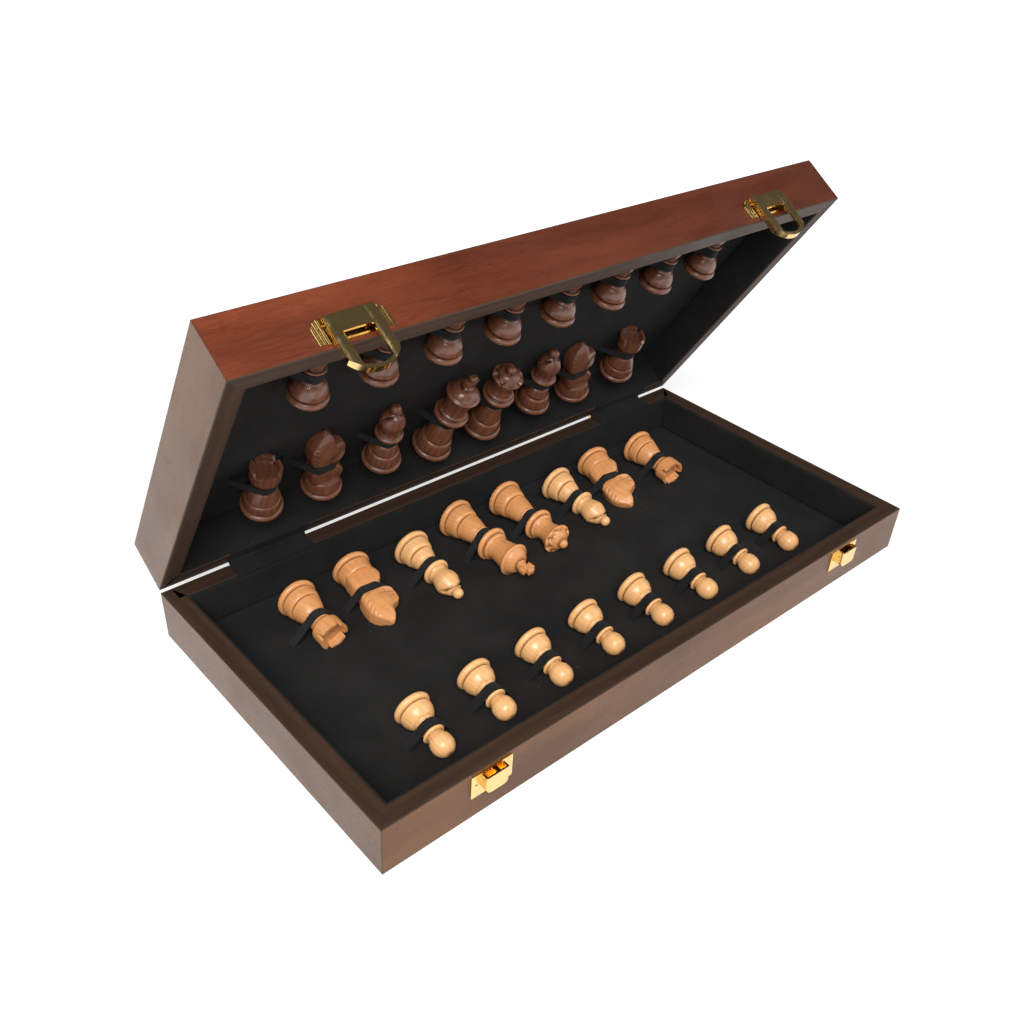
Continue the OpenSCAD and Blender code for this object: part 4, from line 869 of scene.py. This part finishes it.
def tray_lining(name, side, material, thick):
    """Felt laid in a tray: a floor with faint ripples and puckers at the elastics, and walls up to below the rim.

    The floor is a grid, and the wall goes round its border and up in rows. A thickness is then given outwards.
    """
    body, place = SIDES[side]["body"], SIDES[side]["place"]
    lo, hi = FELT_LO[:2] + thick, FELT_HI[:2] - thick
    near = np.array([0.0, 0.35, 0.8, 1.4])
    spans = notches()
    edges = [e for s in spans for e in (s[0] - 0.1, s[0] + 0.1, s[1] - 0.1, s[1] + 0.1)]
    xs = np.linspace(lo[0] + 2.6, hi[0] - 2.6, 190)
    xs = np.unique(np.concatenate([lo[0] + near, hi[0] - near, xs, edges]))
    ys = np.unique(np.concatenate([lo[1] + near, hi[1] - near, np.linspace(lo[1] + 2.6, hi[1] - 2.6, 92)]))
    x, y = np.meshgrid(xs, ys, indexing="ij")
    gap = np.minimum(np.minimum(x - lo[0], hi[0] - x), np.minimum(y - lo[1], hi[1] - y))
    ripples = wave(x, y, 3 if side == "light" else 4, 0.07)
    z = FLOOR_Z + 0.5 * np.exp(-gap / 0.5) + ripples * np.clip(gap / 6, 0, 1)
    for men in men_of(side):
        for kind, mx, my, turn, _ in men:
            for foot_point in band_over(kind, mx, my, turn, "light")[2]:
                z = z + 0.4 * np.exp(-((x - foot_point[0]) ** 2 / 5 + (y - foot_point[1]) ** 2 / 11))
    shell = Shell()
    points = np.stack([x, y, z], -1)
    flip = side == "dark"
    shell.grid(place(points), flip=flip)
    n = np.arange(x.size).reshape(x.shape)
    border = np.concatenate([n[:-1, 0], n[-1, :-1], n[:0:-1, -1], n[0, :0:-1]])
    ring = points.reshape(-1, 3)[border]
    top = np.full(len(ring), CASE[2] - 0.6)
    at_back = np.abs(ring[:, 1] - hi[1]) < 0.01
    for a, b in spans:
        top[at_back & (ring[:, 0] > a) & (ring[:, 0] < b)] = CASE[2] - LEAF_DEPTH - 0.05
    top = top + wave(ring[:, 0], ring[:, 1], 11, 0.06)
    rise = np.linspace(0, 1, 10)[1:]
    wall = np.repeat(ring[None], len(rise), 0)
    wall[..., 2] = ring[None, :, 2] + (top - ring[:, 2])[None] * rise[:, None]
    first = shell.add(place(wall))
    rows = np.concatenate([border[None], (np.arange(wall.size // 3) + first).reshape(len(rise), -1)])
    right = np.roll(rows, -1, 1)
    quads = np.stack([rows[:-1], rows[1:], right[1:], right[:-1]], -1).reshape(-1, 4)
    shell.quads.append(quads[:, ::-1] if flip else quads)
    obj = make_piece(name, shell, material, body, [body + "_lining"], closed=False)
    skin(obj, thick - 0.02)
    return obj


def skin(obj, thick):
    """Gives a sheet its thickness, away from the side that faces the tray."""
    made = obj.modifiers.new("Thickness", "SOLIDIFY")
    made.thickness = thick * MM
    made.offset = -1.0
    made.use_even_offset = True
    return made


def hinge_cover(material):
    """Felt over both hinges, one strip each: along the base's flap, round the hinge line, and along the lid's flap.

    Its section is a straight run, an arc about the hinge line, and the same run mirrored and turned open.
    """
    shell = Shell()
    py, pz = PIVOT[1], PIVOT[2]
    lo, hi = corners("base_hinge_flaps")
    top = hi[2]
    bend = np.linspace(math.pi, math.pi / 2, 6)
    flat = np.concatenate([
        [[lo[1] + 0.04, top - 1.9], [lo[1] + 0.04, top - 1.2]],
        np.stack([lo[1] + 0.64 + 0.6 * np.cos(bend), top - 0.6 + 0.6 * np.sin(bend)], -1),
        np.stack([np.linspace(lo[1] + 1.2, py - 2.1, 15), np.full(15, top)], -1),
    ])
    a0 = math.atan2(top - pz, -2.1) % (2 * math.pi)
    a1 = math.pi * 2 - a0 - OPEN
    turn = np.linspace(a0, a1, 20)[1:-1]
    radius = np.hypot(2.1, top - pz) + 0.2 * np.sin(np.linspace(0, math.pi, 18))
    arc = np.stack([py + radius * np.cos(turn), pz + radius * np.sin(turn)], -1)
    mirrored = to_lid(np.concatenate([np.zeros((len(flat), 1)), flat[::-1]], -1))[:, 1:]
    line = np.concatenate([flat, arc, mirrored])
    for a, b in notches():
        xs = np.linspace(a + 0.3, b - 0.3, 40)
        strip = np.broadcast_to(line[:, None], (len(line), len(xs), 2))
        shell.grid(np.concatenate([np.broadcast_to(xs[:, None], strip.shape[:2] + (1,)), strip], -1))
    flaps = ["base_hinge_flaps", "lid_hinge_flaps"]
    obj = make_piece("felt_over_hinges", shell, material, None, flaps, closed=False)
    skin(obj, 0.45)
    finish = to_lid(np.array([0.0, py - 2.1, top])) * MM
    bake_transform(obj)
    return obj


def rail_section(ease):
    """Section of a rail, as depth from the outer face and height: eased edges above, and the panel's rebate below."""
    deep, high = RAIL_HI[1] - RAIL_LO[1], CASE[2]
    turn = np.linspace(0, math.pi / 2, 5)
    across, up = ease * (1 - np.cos(turn)), high - ease * (1 - np.sin(turn))
    return np.concatenate([
        [[0.0, high - ease - 0.4]], np.stack([across, up], -1),
        [[ease + 0.4, high], [deep - ease - 0.4, high]],
        np.stack([deep - ease * (1 - np.sin(turn)), high - ease * (1 - np.cos(turn))], -1),
        [[deep, high - ease - 0.4], [deep, high - 3.0], [deep, PANEL_TOP], [PANEL_IN, PANEL_TOP], [PANEL_IN, 0.0]],
        [[ease, 0.0], [0.12, 0.14], [0.0, ease], [0.0, ease + 0.4]],
    ])


def rail_of(body, part, material):
    """A mitred rail: an oblong section with crisp eased edges, carried along its side of the tray.

    The section keeps its outer face on the case's side. The ends are cut at 45 degrees. The back rail is cut down for
    the hinges, and stands a little proud at the hinge line.
    """
    at_back, lengthwise = part == "back", part in ("front", "back")
    along, out = CASE[:2] / 2 if lengthwise else CASE[1::-1] / 2
    deep = RAIL_HI[1] - RAIL_LO[1]
    ring = rail_section(0.3 if at_back else 0.45)
    stops = [np.linspace(-along + deep + 1, along - deep - 1, 60)]
    if at_back:
        steps = np.array([-0.45, -0.03, 0.03, 0.45])
        stops += [edge + steps for edges in notches() for edge in edges]
        stops += [end * (along - 6) + steps for end in (-1, 1)]
    inner = np.unique(np.concatenate(stops))
    d, z = ring[None, :, 0], ring[None, :, 1]
    ends = [-along + d, -along + d + 0.3, along - d - 0.3, along - d]
    place = np.concatenate([*ends[:2], np.repeat(inner[:, None], len(ring), 1), *ends[2:]])
    height = np.repeat(z, len(place), 0)
    if at_back:
        d = d - 0.35 * np.clip((z - CASE[2] + 4.0) / 3.0, 0, 1) * np.clip(1 - d, 0, 1)
        limit = np.where(np.abs(inner) < along - 6, PANEL_TOP, 0.0)
        height[2:-2] = np.maximum(height[2:-2], limit[:, None])
        for a, b in notches():
            limit = np.where((inner > a) & (inner < b), CASE[2] - LEAF_DEPTH, CASE[2])
            height[2:-2] = np.minimum(height[2:-2], limit[:, None])
    depth = np.repeat(d, len(place), 0)
    across = (out - depth) * (1 if at_back or part == "right" else -1)
    points = np.stack([*((place, across) if lengthwise else (across, place)), height], -1)
    shell = Shell()
    where = to_lid if body == "lid" else as_drawn
    shell.grid(where(points), wrap=True, start=where(points[0].mean(0)), end=where(points[-1].mean(0)))
    return make_piece(f"crisp_{body}_{part}_rail", shell, material, body, [f"{body}_{part}_rail"])


class ChessCaseColours(bpy.types.PropertyGroup):
    """Colours of the case and the men."""

    def tint(label, words, value):
        return FloatVectorProperty(name=label, description=words, subtype="COLOR", size=3, min=0.0, max=1.0,
                                   default=value)

    stain: tint("Stain", "Case wood between the growth lines", (0.165, 0.05, 0.021))
    stain_dark: tint("Dark Stain", "Case wood in the growth lines", (0.082, 0.023, 0.0105))
    # the rim colour is partly stain, partly painted shade
    rim: tint("Rim Stain And Painted Shade", "Browner stain and painted shade of the rims", (0.045, 0.024, 0.014))
    light_square: tint("Light Square", "Pale veneer of the board", (0.62, 0.41, 0.2))
    light_square_dark: tint("Light Square Figure", "Figure of the pale veneer", (0.46, 0.27, 0.11))
    dark_square: tint("Dark Square", "Brown veneer of the board", (0.15, 0.05, 0.022))
    dark_square_dark: tint("Dark Square Figure", "Figure of the brown veneer", (0.075, 0.024, 0.012))
    felt: tint("Felt", "Black felt of the linings", (0.0125, 0.012, 0.0115))
    felt_nap: tint("Felt Nap", "Sheen and lint of the felt", (0.32, 0.33, 0.34))
    elastic: tint("Elastic", "Black elastic of the loops", (0.0075, 0.0075, 0.008))
    boxwood: tint("Boxwood", "Light men, palest wood", (0.92, 0.5, 0.205))
    boxwood_dark: tint("Boxwood Figure", "Light men, figure", (0.66, 0.3, 0.1))
    boxwood_warm: tint("Warm Boxwood", "Light officers, which are more orange", (0.78, 0.345, 0.125))
    boxwood_warm_dark: tint("Warm Boxwood Figure", "Figure of the light officers", (0.5, 0.19, 0.06))
    rosewood: tint("Rosewood", "Dark men", (0.19, 0.068, 0.034))
    rosewood_dark: tint("Rosewood Figure", "Dark men, figure", (0.06, 0.018, 0.01))
    brass: tint("Brass", "Polished brass", (0.86, 0.62, 0.27))
    brass_dark: tint("Tarnish", "Tarnished brass", (0.42, 0.26, 0.1))


class ChessCaseSizes(bpy.types.PropertyGroup):
    """Sizes and light that a user would change."""

    def power(label, words, value):
        return FloatProperty(name=label, description=words, default=value, min=0.0, unit="POWER")

    def angle(label, words, degrees):
        return FloatProperty(name=label, description=words, default=math.radians(degrees), subtype="ANGLE")

    felt_thickness: FloatProperty(name="Felt Thickness", description="Thickness of the linings", default=0.0008,
                                  min=0.0003, max=0.0015, unit="LENGTH")
    key_light: power("Key Light", "Strength of the soft box", 33.0)
    fill_light: power("Fill Light", "Strength of the fill", 8.0)
    side_light: power("Side Light", "Strength of the panel that bevels mirror", 6.0)
    surround: FloatProperty(name="Surround", description="Brightness of the room as the object sees it", default=0.09,
                            min=0.0, max=2.0)
    camera_azimuth: angle("Camera Azimuth", "Direction of the camera", -43.031)
    camera_elevation: angle("Camera Elevation", "Height of the camera", 35.573)
    camera_roll: angle("Camera Roll", "Tilt of the camera", 3.408)
    camera_distance: FloatProperty(name="Camera Distance", description="From the target", default=0.63184, min=0.1,
                                   unit="LENGTH")


class CHESSCASE_OT_rails(bpy.types.Operator):
    """Cuts the eight mitred rails with crisp edges and stains them, each from its own length of wood."""

    bl_idname = "chess_case.rails"
    bl_label = "Rails"
    LONG = dict(tint=(0.88, 1.18, 0.88))
    END = dict(tint=(0.72, 1.02, 0.76))
    # the lid front's stain also carries a painted light gradient, brighter at the left and darker at the right
    RUDDY = dict(tint=(1.05, 0.84, 0.84), painted_light_falloff=(1.12, 0.74), shine=0.4)

    def execute(self, context):
        colours = context.scene.chess_case_colours
        for body in ("base", "lid"):
            for i, (part, turn) in enumerate((("front", 0), ("back", 0), ("left", 90), ("right", 90))):
                shift = (170.0 * i + (60.0 if body == "lid" else 0.0), 9.0 + 3.0 * i, 5.0 - 2.5 * i)
                look = self.RUDDY if (body, part) == ("lid", "front") else self.END if turn else self.LONG
                rail_of(body, part, stained_wood(f"Stained {body} {part}", body, turn, shift, colours, **look))
        return {"FINISHED"}


class CHESSCASE_OT_board(bpy.types.Operator):
    """Finishes the two board panels and their light and dark squares."""

    bl_idname = "chess_case.board"
    bl_label = "Board"

    def execute(self, context):
        c = context.scene.chess_case_colours
        for body in ("base", "lid"):
            finish_nodes([body + "_board"], stained_wood(f"Stained {body} panel", body, 0, (40.0, 21.0, 9.0), c))
            for name, colour, figure in (
                ("light", c.light_square, c.light_square_dark), ("dark", c.dark_square, c.dark_square_dark),
            ):
                timber = veneer(f"{name.title()} veneer {body}", body, colour, figure)
                finish_nodes([f"{body}_{name}_squares"], timber)
        return {"FINISHED"}


class CHESSCASE_OT_linings(bpy.types.Operator):
    """Lays the black felt in both trays."""

    bl_idname = "chess_case.linings"
    bl_label = "Felt Linings"

    def execute(self, context):
        cloth = felt("Black felt", context.scene.chess_case_colours)
        thick = context.scene.chess_case_sizes.felt_thickness / MM
        tray_lining("felt_in_base", "light", cloth, thick)
        tray_lining("felt_in_lid", "dark", cloth, thick)
        return {"FINISHED"}


class CHESSCASE_OT_hinges(bpy.types.Operator):
    """Finishes the hinges, pins and screws, and covers them with felt."""

    bl_idname = "chess_case.hinges"
    bl_label = "Hinges"

    def execute(self, context):
        c = context.scene.chess_case_colours
        metal = brass("Dull hinge brass", c.brass, c.brass_dark, 0.3)
        nodes = [f"{side}_hinge_{part}" for side in ("left", "right") for part in ("base_leaf", "lid_leaf", "pin")]
        finish_nodes(nodes + ["base_hinge_screws", "lid_hinge_screws"], metal)
        hinge_cover(felt("Felt of the hinge covers", c))
        return {"FINISHED"}


class CHESSCASE_OT_catches(bpy.types.Operator):
    """Polishes the strikes, catch plates, hasps and their nails."""

    bl_idname = "chess_case.catches"
    bl_label = "Catches"

    def execute(self, context):
        c = context.scene.chess_case_colours
        bright = brass("Polished catch brass", c.brass, c.brass_dark, 0.1)
        small = brass("Nail brass", c.brass, c.brass_dark, 0.22)
        sides = ("left", "right")
        finish_nodes([f"{s}_{part}" for s in sides for part in ("strike", "catch_plate", "hasp")], bright)
        finish_nodes([f"{s}_hasp_pin" for s in sides] + ["strike_nails", "catch_nails"], small)
        return {"FINISHED"}


class CHESSCASE_OT_elastics(bpy.types.Operator):
    """Stretches a flat elastic over each man and down into the felt."""

    bl_idname = "chess_case.elastics"
    bl_label = "Elastics"

    def execute(self, context):
        band = elastic("Black elastic", context.scene.chess_case_colours)
        for side in SIDES:
            for men, what in zip(men_of(side), ("piece", "pawn")):
                shell = Shell()
                for kind, x, y, turn, _ in men:
                    points, weave, _ = band_over(kind, x, y, turn, side)
                    shell.grid(points, wrap=True, start=points[0].mean(0), end=points[-1].mean(0), weave=weave)
                nodes = [f"{side}_{what}_loops"]
                make_piece(f"{side}_{what}_elastics", shell, band, SIDES[side]["body"], nodes)
        return {"FINISHED"}


class CHESSCASE_OT_officers(bpy.types.Operator):
    """Turns the kings, queens, bishops and rooks of both sides."""

    bl_idname = "chess_case.officers"
    bl_label = "Kings, Queens, Bishops and Rooks"

    def execute(self, context):
        c = context.scene.chess_case_colours
        woods = {
            "light": turned_wood("Warm boxwood", c.boxwood_warm, c.boxwood_warm_dark, 0.5, 0.3),
            "light_pale": turned_wood("Pale boxwood", c.boxwood, c.boxwood_dark, 0.5, 0.3),
            "dark": turned_wood("Rosewood", c.rosewood, c.rosewood_dark, 0.35, 0.4, 0.9),
        }
        for side in SIDES:
            for i, (kind, x, y, turn, _) in enumerate(men_of(side)[0]):
                if kind == "knight":
                    continue
                shell = Shell()
                add_man(shell, kind, x, y, turn, side, 20 + i + SIDES[side]["seed"])
                wood = woods["light_pale" if side == "light" and kind == "bishop" else side]
                keep_men("turned", shell, wood, side, NAMES[i])
        return {"FINISHED"}


class CHESSCASE_OT_knights(bpy.types.Operator):
    """Carves the four knights on their turned feet."""

    bl_idname = "chess_case.knights"
    bl_label = "Knights"

    def execute(self, context):
        c = context.scene.chess_case_colours
        woods = {
            "light": turned_wood("Carved boxwood", c.boxwood_warm, c.boxwood_warm_dark, 0.5, 0.25),
            "dark": turned_wood("Carved rosewood", c.rosewood, c.rosewood_dark, 0.35, 0.35, 0.9),
        }
        for side in SIDES:
            for i, (kind, x, y, turn, roll) in enumerate(men_of(side)[0]):
                if kind != "knight":
                    continue
                shell = Shell()
                seed = 20 + i + SIDES[side]["seed"]
                add_man(shell, kind, x, y, turn, side, seed, 60, 72)
                points, groove = knight_head()
                spin = np.array(Matrix.Rotation(math.radians(roll), 3, "Z"))
                rolled = points @ spin.T
                ends = lay(rolled[[0, -1]].mean(1), kind, x, y, turn, side)
                shell.grid(lay(rolled, kind, x, y, turn, side), wrap=True, start=ends[0], end=ends[1],
                           flip=side == "dark", place=own_place(points, seed), tone=np.full(groove.shape, 0.5),
                           groove=groove)
                keep_men("carved", shell, woods[side], side, NAMES[i])
        return {"FINISHED"}


class CHESSCASE_OT_pawns(bpy.types.Operator):
    """Turns the eight pawns of each side."""

    bl_idname = "chess_case.pawns"
    bl_label = "Pawns"

    def execute(self, context):
        c = context.scene.chess_case_colours
        woods = {
            "light": turned_wood("Pawn boxwood", c.boxwood, c.boxwood_dark, 0.5, 0.3),
            "dark": turned_wood("Pawn rosewood", c.rosewood, c.rosewood_dark, 0.35, 0.4, 0.9),
        }
        for side in SIDES:
            shell = Shell()
            for i, (kind, x, y, turn, _) in enumerate(men_of(side)[1]):
                add_man(shell, kind, x, y, turn, side, 90 + i + SIDES[side]["seed"], 92, 64)
            keep_men("turned", shell, woods[side], side, "pawns")
        return {"FINISHED"}


class CHESSCASE_OT_stage(bpy.types.Operator):
    """Sets the white floor, the soft lights and the camera."""

    bl_idname = "chess_case.stage"
    bl_label = "Stage"

    def execute(self, context):
        sizes = context.scene.chess_case_sizes
        mesh = bpy.data.meshes.new("floor")
        reach = 14.0
        border = [(x * reach, y * reach, 0) for x, y in ((-1, -1), (1, -1), (1, 1), (-1, 1))]
        mesh.from_pydata(border, [], [(0, 1, 2, 3)])
        floor = bpy.data.objects.new("floor", mesh)
        context.scene.collection.objects.link(floor)
        material, tree, shader = surface("White floor", **{
            "Base Color": (0.55, 0.55, 0.55, 1.0), "Roughness": 0.7, "Specular IOR Level": 0.2,
            "Emission Strength": 1.0,
        })
        # the floor paper glows as well as taking the lamps' light; its glow is turned down close to the case, a
        # painted shadow there
        away = vectors(tree, "LENGTH", put(tree, "ShaderNodeTexCoord").outputs["Object"])
        glow = span(tree, away, 0.22, 0.8, 0.62, 1.0)
        feed(tree, shader, Emission_Color=grey(tree, glow))
        mesh.materials.append(material)
        world = bpy.data.worlds.new("Studio")
        context.scene.world = world
        world.use_nodes = True
        tree = world.node_tree
        tree.nodes.clear()
        seen = {"Value": put(tree, "ShaderNodeLightPath").outputs["Is Camera Ray"], "To Min": sizes.surround}
        strength = put(tree, "ShaderNodeMapRange", seen).outputs[0]
        light = put(tree, "ShaderNodeBackground", {"Color": (1.0, 1.0, 1.0, 1.0), "Strength": strength})
        put(tree, "ShaderNodeOutputWorld", {0: light.outputs[0]})
        for name, at, size, power in (
            ("Soft box", (-0.8, -0.85, 1.25), 0.9, sizes.key_light),
            ("Fill", (1.1, -0.9, 0.8), 1.2, sizes.fill_light),
            ("Side panel", (-1.1, 0.62, 1.05), 1.0, sizes.side_light),
        ):
            data = bpy.data.lights.new(name, "AREA")
            data.shape, data.size, data.energy = "SQUARE", size, power
            lamp = bpy.data.objects.new(name, data)
            context.scene.collection.objects.link(lamp)
            lamp.location = at
            lamp.rotation_euler = (Vector((0.0, 0.05, 0.05)) - Vector(at)).to_track_quat("-Z", "Y").to_euler()
        az, el, roll = sizes.camera_azimuth, sizes.camera_elevation, sizes.camera_roll
        back = Vector((math.sin(az) * math.cos(el), -math.cos(az) * math.cos(el), math.sin(el)))
        right = Vector((0.0, 0.0, 1.0)).cross(back).normalized()
        up = back.cross(right)
        side_axis = right * math.cos(roll) + up * math.sin(roll)
        up_axis = up * math.cos(roll) - right * math.sin(roll)
        data = bpy.data.cameras.new("Photo camera")
        data.sensor_width, data.sensor_fit = 36.0, "HORIZONTAL"
        data.lens = data.sensor_width * FOCAL_PIXELS / IMAGE_SIDE
        data.shift_x = 0.5 - MIDDLE_PIXEL[0] / IMAGE_SIDE
        data.shift_y = MIDDLE_PIXEL[1] / IMAGE_SIDE - 0.5
        data.clip_start, data.clip_end = 0.01, 50.0
        camera = bpy.data.objects.new("Photo camera", data)
        context.scene.collection.objects.link(camera)
        eye = Vector(TARGET) + back * sizes.camera_distance
        camera.matrix_world = Matrix((side_axis, up_axis, back)).transposed().to_4x4()
        camera.location = eye
        context.scene.camera = camera
        context.scene.view_settings.view_transform = "Standard"
        return {"FINISHED"}


OPERATORS = (
    CHESSCASE_OT_rails, CHESSCASE_OT_board, CHESSCASE_OT_linings, CHESSCASE_OT_hinges, CHESSCASE_OT_catches,
    CHESSCASE_OT_elastics, CHESSCASE_OT_officers, CHESSCASE_OT_knights, CHESSCASE_OT_pawns, CHESSCASE_OT_stage,
)


class CHESSCASE_PT_panel(bpy.types.Panel):
    """Lists the steps that finish the chess case."""

    bl_idname = "CHESSCASE_PT_panel"
    bl_label = "Chess Case"
    bl_space_type = "VIEW_3D"
    bl_region_type = "UI"
    bl_category = "Chess Case"

    def draw(self, context):
        for step in OPERATORS:
            self.layout.operator(step.bl_idname)
        for data in (context.scene.chess_case_colours, context.scene.chess_case_sizes):
            box = self.layout.box()
            for key in data.__annotations__:
                box.prop(data, key)


CLASSES = (ChessCaseColours, ChessCaseSizes) + OPERATORS + (CHESSCASE_PT_panel,)


def register():
    for cls in CLASSES:
        bpy.utils.register_class(cls)
    bpy.types.Scene.chess_case_colours = PointerProperty(type=ChessCaseColours)
    bpy.types.Scene.chess_case_sizes = PointerProperty(type=ChessCaseSizes)


def unregister():
    del bpy.types.Scene.chess_case_sizes
    del bpy.types.Scene.chess_case_colours
    for cls in reversed(CLASSES):
        bpy.utils.unregister_class(cls)


def main():
    register()
    steps = bpy.ops.chess_case
    for step in (steps.rails, steps.board, steps.linings, steps.hinges, steps.catches,
                 steps.elastics, steps.officers, steps.knights, steps.pawns, steps.stage):
        step()


if __name__ == "__main__":
    main()
